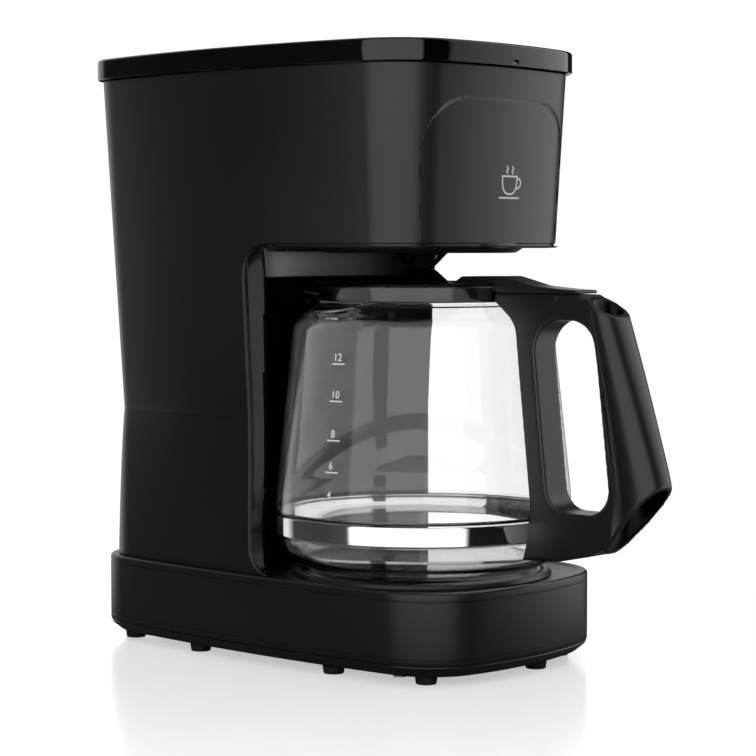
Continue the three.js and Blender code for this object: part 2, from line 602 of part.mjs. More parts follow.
function makeBrewing() {
  const floor = 232.4;
  const basket = turned([
    [4.4, floor], [38, floor], [49.2, 299], [49.2, 303.3], [54.6, 303.3], [54.6, 305], [47.4, 305],
    [47.4, 299], [36.4, floor + 2], [4.4, floor + 2],
  ]);
  const lip = floor - 3;
  const seat = turned([[4.4, lip], [9, lip], [9, floor + 0.5], [4.4, floor + 0.5]], 0, CARAFE_Y, 32);
  const ribs = [];
  for (let i = 0; i < 6; i += 1) {
    const side = [[14, floor + 1.5, 0], [38, floor + 1.5, 0], [38, floor + 6, 0], [14, floor + 4, 0]];
    const rib = prismX(side, -0.8, 0.8);
    ribs.push(rib.rotate([0, 0, 60 * i]).translate([0, CARAFE_Y, 0]));
  }
  const tab = [[-14, 298, 0], [14, 298, 0], [14, 309, 2], [-14, 309, 2]];
  const grip = prismY(tab, CARAFE_Y - 48.6, CARAFE_Y - 45.6);
  add('brew_basket', join(basket, seat, ...ribs, grip), 'satin');

  const legs = [];
  for (let i = 0; i < 4; i += 1) {
    const side = [[11, 218.6, 0], [14, 218.6, 0], [8.2, 211.6, 0], [6.2, 211.6, 0], [6.2, 213.4, 0]];
    const leg = prismX(side, -1.6, 1.6);
    legs.push(leg.rotate([0, 0, 90 * i + 45]).translate([0, CARAFE_Y, 0]));
  }
  const ring = (r0, r1, z0, z1) => turned([[r0, z0], [r1, z0], [r1, z1], [r0, z1]], 0, CARAFE_Y, 28);
  add('drip_nozzle', join(
    ring(11, 14.7, 217.6, 220.4), ring(11, 12.9, 220, 229.6), ring(5.8, 8.2, 211.3, 213.6), ...legs,
  ), 'satin');

  const tip = DOME_TOP + 0.5;
  const seatTop = floor + 2.3;
  add('drip_valve', turned([
    [0, tip], [2.4, tip + 0.6], [3.6, tip + 2], [3.6, seatTop + 2.1], [7.6, seatTop + 2.1],
    [7.6, seatTop + 3.3], [3.6, seatTop + 3.3], [3.6, seatTop + 8], [0, seatTop + 8],
  ], 0, CARAFE_Y, 28), 'inner');
  add('valve_seal', ring(3.9, 8.2, seatTop, seatTop + 1.8), 'rubber');
  const cageTop = seatTop + 13;
  const cageLegs = [0, 120, 240].map((angle) => prismX(
    [[9.2, seatTop, 0], [11, seatTop, 0], [11, cageTop + 1, 0], [9.2, cageTop + 1, 0]], -1.5, 1.5,
  ).rotate([0, 0, angle]).translate([0, CARAFE_Y, 0]));
  add('valve_cage', join(ring(4.2, 11, cageTop, cageTop + 1.5), ...cageLegs), 'inner');
  const wire = 0.5;
  const low = seatTop + 3.3 + GAP + wire;
  const high = cageTop - GAP - wire;
  const turns = 5;
  const radius = 5.6;
  const coil = [];
  for (let i = 0; i <= turns * 12; i += 1) {
    const a = (2 * Math.PI * i) / 12;
    const rise = ((high - low) * i) / (turns * 12);
    coil.push([radius * Math.cos(a), CARAFE_Y + radius * Math.sin(a), low + rise]);
  }
  add('valve_spring', pipe(coil, wire, 6, turns * 10), 'steel');
}

function makeShower() {
  const route = [[-RISER.x, RISER.y, 300], [-44, 58, 309.8], [-20, 20, 310.6], [0, CARAFE_Y, 310.4]];
  const arm = pipe(route, 4.2, 10, 16);
  const socket = post(6.6, 292, 305, -RISER.x, RISER.y, 24);
  const bore = post(4.7, 290, 300.4, -RISER.x, RISER.y, 20);
  const head = turned([
    [0, 303.6], [19, 303.6], [21, 305.2], [21, 306.8], [8, 311], [0, 311],
  ], 0, CARAFE_Y, 36);
  const drops = [];
  for (let i = 0; i < 6; i += 1) {
    const a = (Math.PI * i) / 3;
    drops.push(post(1.2, 302, 306, 13 * Math.cos(a), CARAFE_Y + 13 * Math.sin(a), 6));
  }
  add('shower_arm', cut(join(arm, socket, head), bore, ...drops), 'inner');
}

function makeLid() {
  const outer = stack([
    [LID_BOTTOM, LID_PLAN], [LID_TOP - 1, LID_PLAN], [LID_TOP, inset(LID_PLAN, 1)],
  ]);
  const under = stack([[LID_BOTTOM - 2, inset(LID_PLAN, WALL)], [LID_TOP - 3, inset(LID_PLAN, WALL)]]);
  const face = LID_PLAN.front;
  const recess = [[face - 6, 314.9], [face + 1.4, 315.4, 0.6], [face + 1.4, 317.4, 0.6], [face - 6, 318]];
  const notch = prismX(recess, -2.8, 2.8);
  const knuckles = [];
  const bores = [];
  for (const s of [-1, 1]) {
    const x = LID_KNUCKLE_X * s;
    const { y, z } = LID_HINGE;
    const hook = [[y - 2.2, 310.3, 2], [y + 2.1, 310.3, 2], [y + 2.1, 316], [y - 2.2, 316]];
    const ear = prismX(hook, x - 2.4, x + 2.4);
    const block = box(x - 5, x + 5, y - 6, y + 1, LID_BOTTOM + 1.2, LID_TOP - 2);
    knuckles.push(ear, block);
    bores.push(rodX(1.3, x - 4, x + 4, y, z, 16));
    add(s < 0 ? 'lid_pin_left' : 'lid_pin_right', rodX(1.2, x - 6.8, x + 6.8, y, z, 16), 'steel');
  }
  add('lid', cut(join(cut(outer, under), ...knuckles), notch, ...bores), 'gloss');
}

// ---------------------------------------------------------------- carafe

// Outer glass wall as [radius, height], from the foot up to the rim.
const GLASS_WALL = [
  [62, GLASS_BOTTOM], [70, 52.8], [75.4, 59.6], [78.6, 69.4], [78.8, 79.9], [80.8, 81.6],
  [80.6, 91], [76.2, 131], [71.4, 175], [69, 184], [64, 188.9],
  [57.6, 192.4], [57, 196], [58.6, NECK_TOP],
];

function glassBody(grow) {
  const profile = [[0, GLASS_BOTTOM - grow], ...GLASS_WALL.map(([r, z]) => [r + grow, z])];
  profile.push([0, NECK_TOP]);
  return turned(profile, 0, CARAFE_Y, 40);
}

function makeGlass() {
  const inner = [...GLASS_WALL].reverse().map(([r, z]) => [r - 2.3, Math.max(z, GLASS_BOTTOM + 3)]);
  inner[inner.length - 1] = [60, GLASS_BOTTOM + 3];
  const ends = [[0, GLASS_BOTTOM + 3], [0, GLASS_BOTTOM]];
  const profile = [[0, GLASS_BOTTOM], ...GLASS_WALL, ...inner, ...ends];
  const shape = new THREE.LatheGeometry(profile.map(([r, z]) => new THREE.Vector2(r, z)), 40);
  shape.rotateX(Math.PI / 2);
  const p = shape.attributes.position;
  for (let i = 0; i < p.count; i += 1) {
    const reach = THREE.MathUtils.smoothstep(p.getZ(i), 187, NECK_TOP);
    const around = Math.atan2(p.getX(i), p.getY(i)) / SPOUT.halfAngle;
    const pull = reach * Math.exp(-around * around);
    const r = Math.hypot(p.getX(i), p.getY(i));
    const k = r > 1 ? 1 + (SPOUT.reach * pull) / r : 1;
    p.setXYZ(i, p.getX(i) * k, p.getY(i) * k + CARAFE_Y, p.getZ(i) - SPOUT.drop * pull);
  }
  const glass = solid(shape);
  add('carafe_glass', glass.volume() < 0 ? solid(flipped(shape)) : glass, 'glass');
}

function makeBand() {
  const ring = turned([[79.4, 69.8], [80.2, 69.8], [80.2, 79.5], [79.4, 79.5]], 0, CARAFE_Y, 60);
  const lug = box(-3.5, 3.5, CARAFE_Y - 92, CARAFE_Y - 79.8, 70.4, 79);
  const z = HANDLE_SCREW_Z;
  add('steel_band', cut(join(ring, lug), rodY(1.7, -110, -94, 0, z, 12)), 'chrome');
  const head = rodY(3.6, -125.4, -122.6, 0, z, 20);
  add('handle_screw', join(head, rodY(1.5, -123, -97, 0, z, 12)), 'steel');
}

function ovalSection(z, inner, outer, half, n = 24) {
  const points = [];
  for (let i = 0; i < n; i += 1) {
    const a = (2 * Math.PI * i) / n;
    const c = Math.sign(Math.cos(a)) * Math.abs(Math.cos(a)) ** 0.85;
    const s = Math.sign(Math.sin(a)) * Math.abs(Math.sin(a)) ** 0.85;
    points.push(new THREE.Vector2(half * c, (inner + outer) / 2 + ((inner - outer) / 2) * s));
  }
  return [z, points];
}

// Grip edges as [height, edge towards the glass, outer edge].
const GRIP_EDGES = [
  [58, -132, -172], [68, -138.5, -173.4], [80, -141.6, -174], [92, -143, -174], [104, -142, -172.4],
  [135, -138, -162.6], [160, -134, -154.4], [186, -129, -145.4], [200, -126.4, -140.6],
];

function makeHandle() {
  const outer = loft(GRIP_EDGES.map(([z, near, far]) => ovalSection(z, near, far, GRIP_HALF)));
  const inner = loft(GRIP_EDGES.map(([z, near, far]) => ovalSection(z, near - 3, far + 3, GRIP_HALF - 3)));
  const plate = prismX([
    [-60, 197.6, 0], [-125, 197.6, 4], [-139, 189, 4], [-152, 140, 30], [-164, 104, 8], [-156, 80, 6],
    [-132, 66, 8], [-112, 61.6, 20], [-60, 58.8, 0],
  ], -HANDLE_HALF, HANDLE_HALF);
  const fingerHole = [[-94.6, 184.4, 16], [-133, 184.4, 16], [-144.6, 87, 13], [-105.6, 87, 13]];
  const mouth = [[-185, 118], [-172.6, 104], [-139, 67.4, 10], [-118, 57.5], [-118, 44], [-185, 44]];
  const top = [[-185, 163], [-145.6, 186], [-126, 197.5], [-118, 197.5], [-118, 210], [-185, 210]];
  const slot = box(-4.2, 4.2, LID_PIN.y - 6, LID_PIN.y + 7, LID_PIN.z - 4.4, 200);
  const body = cut(
    join(outer, plate), inner.subtract(box(-20, 20, -143.4, -60, 70, 92)),
    ...[fingerHole, mouth, top].map((corners) => prismX(corners, -20, 20)), slot,
    glassBody(0.5),
    turned([[70, 69.4], [80.6, 69.4], [80.6, 79.9], [70, 79.9]]),
    box(-3.9, 3.9, -106, -80, 70, 79.4),
    rodY(1.9, -123, -100, 0, HANDLE_SCREW_Z, 12),
    rodY(4.2, -150, -121.9, 0, HANDLE_SCREW_Z, 16),
    rodX(1.6, -12, 12, LID_PIN.y, LID_PIN.z, 16),
  );
  add('carafe_handle', body, 'satin');
  add('carafe_lid_pin', rodX(1.5, -9.3, 9.3, LID_PIN.y, LID_PIN.z, 16), 'steel');
}

function makeCarafeLid() {
  const z = CARAFE_LID_TOP;
  const cap = turned([
    [0, z - 2], [52.2, z - 2], [52.2, 191], [53.8, 191], [53.8, NECK_TOP + GAP], [57.6, NECK_TOP + GAP],
    [57.6, z - 0.8], [56.8, z], [50, z], [49, z - 0.8], [16.4, z - 0.8], [15, z], [8, DOME_TOP - 0.5],
    [6.6, DOME_TOP], [0, DOME_TOP],
  ], 0, CARAFE_Y, 40);
  const roof = DOME_TOP - 2.2;
  const hollow = turned([[0, z - 4], [13, z - 4], [12.4, z - 1], [6.2, roof], [0, roof]]);
  const inlets = [0, 1, 2, 3].map((i) => box(9.5, 12.5, -1.6, 1.6, z - 3, z + 8)
    .rotate([0, 0, 90 * i]).translate([0, CARAFE_Y, 0]));
  const arm = prismX([
    [-41, NECK_TOP + 0.6, 0], [-41, z - 0.2, 0], [-43.6, z + 0.6, 2], [-48, 206.2, 3], [-75, 206.4, 10],
    [-94.2, 201.6, 14], [-113, 200, 6], [-123.6, 199.4, 0.6], [-123.6, 198.1, 0], [-108, 198, 0],
    [-68, 198, 0], [-68, NECK_TOP + 0.6, 0],
  ], -8.5, 8.5).subtract(glassBody(0.6));
  const knuckle = join(
    rodX(3.4, -3.6, 3.6, LID_PIN.y, LID_PIN.z, 20),
    box(-3.6, 3.6, LID_PIN.y - 3.4, LID_PIN.y + 3.4, LID_PIN.z, 199),
  );
  const body = cut(join(cap, arm, knuckle), hollow, ...inlets, rodX(1.6, -5, 5, LID_PIN.y, LID_PIN.z, 16));
  add('carafe_lid', body, 'satin');
}

makeBase();
makeBottom();
makeHotPlate();
makeHoses();
makeElectrics();
makeHousings();
makeHeadUnderside();
makeReservoir();
makeBrewing();
makeShower();
makeLid();
makeGlass();
makeBand();
makeHandle();
makeCarafeLid();

machine.position.y = ORIGIN_SHIFT;

export default machine;
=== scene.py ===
"""Looks of a drip coffee maker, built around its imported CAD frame."""

import json
import math

import bmesh
import bpy
import numpy as np
from mathutils import Matrix, Vector


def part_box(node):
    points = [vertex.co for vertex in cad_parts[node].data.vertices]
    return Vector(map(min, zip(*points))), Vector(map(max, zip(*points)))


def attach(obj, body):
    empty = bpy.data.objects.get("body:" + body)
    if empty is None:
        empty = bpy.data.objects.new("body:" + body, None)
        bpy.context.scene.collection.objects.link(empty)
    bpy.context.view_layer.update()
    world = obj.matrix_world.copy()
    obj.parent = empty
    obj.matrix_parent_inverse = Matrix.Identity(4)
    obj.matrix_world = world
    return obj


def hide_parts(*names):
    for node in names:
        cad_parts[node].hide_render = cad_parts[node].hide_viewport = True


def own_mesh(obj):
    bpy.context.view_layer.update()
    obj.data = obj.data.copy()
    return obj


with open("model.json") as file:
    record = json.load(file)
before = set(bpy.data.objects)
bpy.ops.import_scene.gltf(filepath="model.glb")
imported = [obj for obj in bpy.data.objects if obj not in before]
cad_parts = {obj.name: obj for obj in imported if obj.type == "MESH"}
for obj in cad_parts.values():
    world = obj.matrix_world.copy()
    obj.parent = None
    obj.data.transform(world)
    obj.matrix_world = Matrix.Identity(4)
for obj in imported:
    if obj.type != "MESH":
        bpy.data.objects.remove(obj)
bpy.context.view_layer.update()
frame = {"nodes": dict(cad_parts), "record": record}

# ------------------------------------------------------------ shared dimensions, mm
BASE_PLAN = dict(half=78.7, front=-93.5, back=173.2, rf=187.7, rs=1024, rb=3000, cf=41, cb=31)
LID_PLAN = dict(half=88, front=-76.8, back=176, rf=260, rs=516, rb=3000, cf=40, cb=30)
BASE_BOTTOM = 10.9
BASE_TOP = 47.8
WAIST = 130.5
HEAD_BOTTOM = 223.0
BODY_TOP = 314.0
LID_BOTTOM = 314.3
LID_TOP = 326.0
LID_OVERHANG = 3.5
DRAFT = 0.058
TOWER_STEP = 4.6
GAP = 0.3
AXIS_Y = -13.0
BAY_BACK = 43.0
BAY_RADIUS = 82.5
BAY_HOLLOW_HALF = 48
BAY_HOLLOW_RADIUS = 170
POCKET_TOP = 205.5
BAY_TOP_CORNER = 18.0
BAY_LOW_CORNER = 14.0
PLATE_TOP = 50.6
NECK_TOP = 200.0
DOME_TOP = 209.4
LID_PIN = (-109.5, 195.0)
UNDERSIDE_BACK = 26.6
WALL = 2.2
INNER_WALL = 1.8
LINER_WALL = 1.6
BLEND = 2.0

plate_low, plate_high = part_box("hot_plate")
SHIFT = (plate_low.y + plate_high.y) * 500 - AXIS_Y


def row(points):
    """Millimetres in the part's own axes to metres in the row frame."""
    p = np.asarray(points, float).reshape(-1, 3)
    return (p + np.array([0, SHIFT, 0])) / 1000


# ------------------------------------------------------------ mesh helpers
def new_object(name, mesh):
    obj = bpy.data.objects.new(name, mesh)
    bpy.context.scene.collection.objects.link(obj)
    return obj


def new_mesh(name, points, faces):
    mesh = bpy.data.meshes.new(name)
    mesh.from_pydata([tuple(p) for p in row(points)], [], [tuple(int(i) for i in f) for f in faces])
    mesh.update()
    return mesh


def evaluated_mesh(obj):
    bpy.context.view_layer.update()
    graph = bpy.context.evaluated_depsgraph_get()
    return bpy.data.meshes.new_from_object(obj.evaluated_get(graph))


def finish_piece(obj, body, slot, look, replaces=(), angle=35):
    obj.data.shade_smooth()
    obj.data.set_sharp_from_angle(angle=math.radians(angle))
    obj.data.materials.clear()
    obj.data.materials.append(look)
    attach(obj, body)
    if replaces:
        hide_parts(*replaces)
    return obj


def applied(obj, *modifiers):
    """Adds modifiers given as (type, settings) and applies them to the mesh."""
    for kind, settings in modifiers:
        m = obj.modifiers.new(kind.lower(), kind)
        for key, value in settings.items():
            setattr(m, key, value)
    mesh = evaluated_mesh(obj)
    obj.modifiers.clear()
    obj.data = mesh
    return obj


def thickened(obj, thickness, **settings):
    """Gives a sheet its wall, inwards."""
    return applied(obj, ("SOLIDIFY", dict(thickness=thickness / 1000, offset=-1, **settings)))


def raw(name, points, faces):
    """A closed mesh in the part's axes, its faces turned outwards."""
    mesh = new_mesh(name, points, faces)
    mesh.validate()
    fix = bmesh.new()
    fix.from_mesh(mesh)
    bmesh.ops.recalc_face_normals(fix, faces=fix.faces)
    fix.to_mesh(mesh)
    fix.free()
    return new_object(name, mesh)


def raw_open(name, points, faces, inner=(0, 60, 150)):
    """A sheet whose faces turn away from an inner point."""
    mesh = new_mesh(name, points, faces)
    centre = Vector(row([inner])[0])
    if sum((f.center - centre).dot(f.normal) * f.area for f in mesh.polygons) < 0:
        mesh.flip_normals()
    return new_object(name, mesh)


def raw_lathe(name, profile, *args):
    return raw(name, *lathe_mesh(profile, *args))


def joined(target, *others):
    """Adds the meshes of the other objects to target, and removes them."""
    mesh = bmesh.new()
    mesh.from_mesh(target.data)
    for other in others:
        mesh.from_mesh(other.data)
        bpy.data.objects.remove(other)
    mesh.to_mesh(target.data)
    mesh.free()
    return target


def boolean(target, operation, *tools):
    for tool in tools:
        applied(target, ("BOOLEAN", dict(operation=operation, solver="EXACT", object=tool)))
        bpy.data.objects.remove(tool)
    return target


def cut_out(target, *tools):
    return boolean(target, "DIFFERENCE", *tools)


def unite(target, *tools):
    return boolean(target, "UNION", *tools)


def paint(obj, look, chosen):
    """Gives the chosen faces a second material."""
    obj.data.materials.append(look)
    for face in obj.data.polygons:
        face.material_index = int(chosen(face.center))


def rounded(corners, closed=True, step=10):
    """A polygon whose corners are (u, v, radius), each rounded by an arc."""
    out = []
    count = len(corners)
    for i, corner in enumerate(corners):
        here = np.array(corner[:2], float)
        radius = corner[2] if len(corner) > 2 else 0
        ends = not closed and i in (0, count - 1)
        if ends or radius == 0:
            out.append(here)
            continue
        back = np.array(corners[i - 1][:2], float) - here
        on = np.array(corners[(i + 1) % count][:2], float) - here
        back /= np.linalg.norm(back)
        on /= np.linalg.norm(on)
        half = math.acos(float(np.clip(back @ on, -1, 1))) / 2
        turn = math.pi - 2 * half
        if turn < 0.03:
            out.append(here)
            continue
        middle = (back + on) / np.linalg.norm(back + on)
        centre = here + middle * radius / math.sin(half)
        start = here + back * radius / math.tan(half) - centre
        sense = -np.sign(back[0] * on[1] - back[1] * on[0])
        steps = max(2, round(math.degrees(turn) / step))
        for k in range(steps + 1):
            a = sense * turn * k / steps
            c, s = math.cos(a), math.sin(a)
            out.append(centre + np.array([c * start[0] - s * start[1], s * start[0] + c * start[1]]))
    return np.array(out)


def lathe_mesh(profile, sides=96, x=0.0, y=AXIS_Y, closed=True):
    """Vertices and faces of a profile of (radius, height) turned about Z."""
    points, index, faces = [], [], []
    for r, z in profile:
        if r < 1e-6:
            index.append([len(points)] * sides)
            points.append((x, y, z))
        else:
            index.append(list(range(len(points), len(points) + sides)))
            for k in range(sides):
                a = 2 * math.pi * k / sides
                points.append((x + r * math.cos(a), y + r * math.sin(a), z))
    last = len(profile) if closed else len(profile) - 1
    for i in range(last):
        a, b = index[i], index[(i + 1) % len(profile)]
        for k in range(sides):
            n = (k + 1) % sides
            face = []
            for v in (a[k], a[n], b[n], b[k]):
                if v not in face:
                    face.append(v)
            if len(face) > 2:
                faces.append(face)
    return points, faces


def merged(*meshes):
    points, faces = [], []
    for p, f in meshes:
        start = len(points)
        points += [tuple(q) for q in p]
        faces += [[i + start for i in face] for face in f]
    return points, faces


def outward(name, points, faces, *args):
    return finish_piece(raw(name, points, faces), *args)


def turned(name, corners, body, slot, look, replaces=(), sides=96, x=0.0, y=AXIS_Y):
    points, faces = lathe_mesh(rounded(corners), sides, x, y)
    return outward(name, points, faces, body, slot, look, replaces, 35)


AXES = {"x": (1, 2, 0), "y": (0, 2, 1), "z": (0, 1, 2)}


def prism(name, corners, axis, low, high, step=10):
    """A prism along an axis. Corners are (y, z), (x, z) or (x, y), with a radius each."""
    flat = rounded(corners, True, step)
    u, v, w = AXES[axis]
    points = []
    for level in (low, high):
        for p in flat:
            place = [0, 0, 0]
            place[u], place[v], place[w] = p[0], p[1], level
            points.append(place)
    n = len(flat)
    faces = [list(range(n)), list(range(n, 2 * n))]
    faces += [(i, (i + 1) % n, (i + 1) % n + n, i + n) for i in range(n)]
    return raw(name, points, faces)


# ------------------------------------------------------------ plans
def inset(plan, d):
    out = dict(plan)
    out.update(half=plan["half"] - d, front=plan["front"] + d, back=plan["back"] - d)
    for key in ("rf", "rs", "rb"):
        out[key] = plan[key] - d
    for key in ("cf", "cb"):
        out[key] = max(plan[key] - d, 2)
    return out


def mixed(low, high, t):
    return {key: low[key] + (high[key] - low[key]) * t for key in low}


def corner_centre(c1, r1, c2, r2, side):
    between = c2 - c1
    d = np.linalg.norm(between)
    along = (r1 * r1 - r2 * r2 + d * d) / (2 * d)
    across = math.sqrt(max(r1 * r1 - along * along, 0))
    direction = between / d
    base = c1 + direction * along
    normal = np.array([-direction[1], direction[0]])
    options = [base + normal * across, base - normal * across]
    return max(options, key=lambda p: p[0] + side * p[1])


def arcs(plan):
    """(centre, radius, start angle, end angle) of the front, corner, side, corner and back arcs."""
    cf = np.array([0, plan["front"] + plan["rf"]])
    cs = np.array([plan["half"] - plan["rs"], (plan["front"] + plan["back"]) / 2])
    cb = np.array([0, plan["back"] - plan["rb"]])
    pf = corner_centre(cf, plan["rf"] - plan["cf"], cs, plan["rs"] - plan["cf"], -1)
    pb = corner_centre(cb, plan["rb"] - plan["cb"], cs, plan["rs"] - plan["cb"], 1)
    a1 = math.atan2(*(pf - cf)[::-1])
    a2 = math.atan2(*(pf - cs)[::-1])
    a3 = math.atan2(*(pb - cs)[::-1])
    a4 = math.atan2(*(pb - cb)[::-1])
    return [
        (cf, plan["rf"], -math.pi / 2, a1), (pf, plan["cf"], a1, a2), (cs, plan["rs"], a2, a3),
        (pb, plan["cb"], a3, a4), (cb, plan["rb"], a4, math.pi / 2),
    ]


def whole_outline(plan):
    """An outline from the front's centre by the right side to the back's centre, and round by the left."""
    right = []
    for (c, r, a, b), n in zip(arcs(plan), (14, 16, 14, 14, 8)):
        right += [(c[0] + r * math.cos(t), c[1] + r * math.sin(t)) for t in np.linspace(a, b, n + 1)[:-1]]
    right = np.array(right + [(0, plan["back"])])
    return np.concatenate([right, right[1:-1][::-1] * np.array([-1, 1])])


body_top_plan = inset(LID_PLAN, LID_OVERHANG)
waist_plan = inset(LID_PLAN, LID_OVERHANG + DRAFT * (BODY_TOP - WAIST))
foot_plan = inset(BASE_PLAN, TOWER_STEP)


def body_plan(z):
    if z >= WAIST:
        return mixed(waist_plan, body_top_plan, (z - WAIST) / (BODY_TOP - WAIST))
    return mixed(foot_plan, waist_plan, (z - BASE_TOP) / (WAIST - BASE_TOP))


def side_x(y, z):
    plan = body_plan(z)
    c, r, _, _ = arcs(plan)[2]
    return c[0] + math.sqrt(r * r - (y - c[1]) ** 2)


def ring_faces(rows, count, closed=True):
    faces = []
    for k in range(rows - 1):
        for i in range(count if closed else count - 1):
            a, b = k * count + i, k * count + (i + 1) % count
            faces.append((a, b, b + count, a + count))
    return faces


def strip_cap(start, count):
    """Closes an outline that is symmetric in X with strips from side to side."""
    half = count // 2
    faces = [(start, start + 1, start + count - 1)]
    for i in range(1, half - 1):
        faces.append((start + i, start + i + 1, start + count - i - 1, start + count - i))
    faces.append((start + half - 1, start + half, start + half + 1))
    return faces


def smooth_step(x):
    x = np.clip(x, 0, 1)
    return x * x * (3 - 2 * x)


def shell_levels(levels, depth=None):
    """Outlines of (z, plan) stacked up. A third number is the share of depth(y) that a level drops by."""
    points = []
    for z, plan, *share in levels:
        o = whole_outline(plan)
        drop = share[0] * depth(o[:, 1]) if share else 0
        points += list(np.column_stack([o, np.full(len(o), z) - drop]))
    count = len(points) // len(levels)
    return points, ring_faces(len(levels), count), count


def quarter(steps, first=0):
    """Angles of a quarter turn in equal steps."""
    return [math.pi / 2 * k / steps for k in range(first, steps + 1)]


# ------------------------------------------------------------ materials
def node(tree, kind, inputs=(), **settings):
    """Adds a shader node. Each input is a value, or the output that is linked to it."""
    made = tree.nodes.new("ShaderNode" + kind)
    for key, value in settings.items():
        setattr(made, key, value)
    for key, value in dict(inputs).items():
        if isinstance(value, bpy.types.NodeSocket):
            tree.links.new(value, made.inputs[key])
        else:
            made.inputs[key].default_value = value
    return made


def new_material(name):
    m = bpy.data.materials.new(name)
    m.use_nodes = True
    m.node_tree.nodes.clear()
    return m, m.node_tree


def surfaced(m, shader):
    node(m.node_tree, "OutputMaterial", {0: shader.outputs[0]})
    return m


def moulded(name, color, rough, grain=0.0, grain_scale=1500, spread=0.05, tint=0.25, specular=0.5):
    """Moulded plastic, rubber or coating: fine surface grain, and slow changes of gloss and shade."""
    m, tree = new_material(name)
    place = node(tree, "TexCoord").outputs["Object"]
    slow = node(tree, "TexNoise", {"Scale": 9, "Detail": 4, "Vector": place}).outputs["Fac"]
    fine = node(tree, "TexNoise", {"Scale": grain_scale, "Detail": 3, "Vector": place}).outputs["Fac"]
    gloss = node(tree, "MapRange", {
        "Value": slow, "From Min": 0.3, "From Max": 0.7,
        "To Min": max(rough - spread, 0.01), "To Max": rough + spread,
    })
    both = node(tree, "Mix", {0: 0.35, 2: slow, 3: fine})
    shades = node(tree, "ValToRGB", {"Fac": both.outputs[0]})
    for element, position, change in zip(shades.color_ramp.elements, (0.3, 0.7), (-tint, tint)):
        element.position = position
        element.color = (*[c * (1 + change) for c in color], 1)
    inputs = {
        "Base Color": shades.outputs["Color"], "Roughness": gloss.outputs[0], "Specular IOR Level": specular,
    }
    if grain > 0:
        bump = node(tree, "Bump", {"Strength": grain, "Distance": 0.00006, "Height": fine})
        inputs["Normal"] = bump.outputs[0]
    return surfaced(m, node(tree, "BsdfPrincipled", inputs))


def brushed(name, color, rough, stretch):
    """Polished or brushed metal whose fine lines run across the stretch direction."""
    m, tree = new_material(name)
    place = node(tree, "TexCoord").outputs["Object"]
    scale = node(tree, "Mapping", {"Scale": stretch, "Vector": place})
    lines = node(tree, "TexNoise", {"Scale": 1, "Detail": 5, "Vector": scale.outputs[0]}).outputs["Fac"]
    gloss = node(tree, "MapRange", {"Value": lines, "To Min": rough * 0.6, "To Max": rough * 1.5})
    shades = node(tree, "ValToRGB", {"Fac": lines})
    for element, share in zip(shades.color_ramp.elements, (0.88, 1)):
        element.color = (*[c * share for c in color], 1)
    bump = node(tree, "Bump", {"Strength": 0.04, "Distance": 0.00003, "Height": lines})
    return surfaced(m, node(tree, "BsdfPrincipled", {
        "Base Color": shades.outputs["Color"], "Metallic": 1, "Roughness": gloss.outputs[0],
        "Normal": bump.outputs[0],
    }))


def clear_glass(name):
    """Soda-lime glass: clear, with very slight haze and waviness."""
    m, tree = new_material(name)
    place = node(tree, "TexCoord").outputs["Object"]
    wave = node(tree, "TexNoise", {"Scale": 28, "Detail": 1, "Vector": place}).outputs["Fac"]
    haze = node(tree, "MapRange", {"Value": wave, "To Min": 0, "To Max": 0.012})
    bump = node(tree, "Bump", {"Strength": 0.12, "Distance": 0.0004, "Height": wave})
    return surfaced(m, node(tree, "BsdfPrincipled", {
        "Base Color": (0.985, 0.992, 0.99, 1), "Transmission Weight": 1, "IOR": 1.5,
        "Roughness": haze.outputs[0], "Normal": bump.outputs[0],
    }))


BODY = moulded("satin_body", (0.0055, 0.0056, 0.006), 0.36, grain=0.16, grain_scale=2600, spread=0.03)
DARK = moulded("satin_dark", (0.0048, 0.0049, 0.0052), 0.34, grain=0.12, grain_scale=2400, spread=0.03)
HANDLE = moulded("satin_handle", (0.0055, 0.0055, 0.006), 0.34, grain=0.14, grain_scale=2600, spread=0.03)
LINER = moulded("satin_liner", (0.004, 0.004, 0.0043), 0.24, 0.06, 2200, spread=0.03, specular=0.3)
# painted shade: near-black, matt and without sheen, standing in for the carafe's dark shadow and reflection
# on the pocket's wall
POCKET_SHADE = moulded("painted_pocket_shade", (0.0025, 0.0025, 0.0027), 0.6, 0.05, 2200, spread=0.02, specular=0)
# near-black: the carafe lid's own colour, and painted shade on the faces deep inside the handle's hollow grip
DEEP_BLACK_AND_SHADE = moulded("satin_black_and_painted_shade", (0.0006, 0.0006, 0.0007), 0.3, 0.05, 2200, spread=0.02, specular=0.12)
GLOSS = moulded("gloss_lid", (0.001, 0.001, 0.0011), 0.06, spread=0.02, tint=0.15)
INNER = moulded("inner_plastic", (0.035, 0.035, 0.038), 0.5, grain=0.2, grain_scale=1800)
RUBBER = moulded("rubber", (0.006, 0.006, 0.006), 0.75, grain=0.3, grain_scale=1600)
ENAMEL = moulded("plate_coating", (0.006, 0.006, 0.006), 0.22, grain=0.25, grain_scale=900)
SILICONE = moulded("silicone", (0.62, 0.6, 0.55), 0.55, grain=0.1, grain_scale=900, tint=0.06)
WHITE = moulded("white_plastic", (0.72, 0.71, 0.68), 0.42, grain=0.1, tint=0.05)
CERAMIC = moulded("ceramic", (0.6, 0.55, 0.45), 0.75, grain=0.4, grain_scale=1200, tint=0.12)
RED = moulded("red_cover", (0.35, 0.02, 0.02), 0.35, grain=0.05, tint=0.1)
PRINT = moulded("white_print", (0.8, 0.8, 0.8), 0.5, grain=0.1, grain_scale=3000, tint=0.03)
MARK = moulded("grey_print", (0.55, 0.56, 0.57), 0.3, grain=0.05, grain_scale=3000, tint=0.04)
CHROME = brushed("polished_steel", (0.86, 0.86, 0.87), 0.05, (5, 5, 900))
STEEL = brushed("brushed_steel", (0.62, 0.62, 0.63), 0.3, (900, 40, 900))
ALUMINIUM = brushed("aluminium", (0.7, 0.71, 0.72), 0.4, (300, 300, 300))
GLASS = clear_glass("clear_glass")

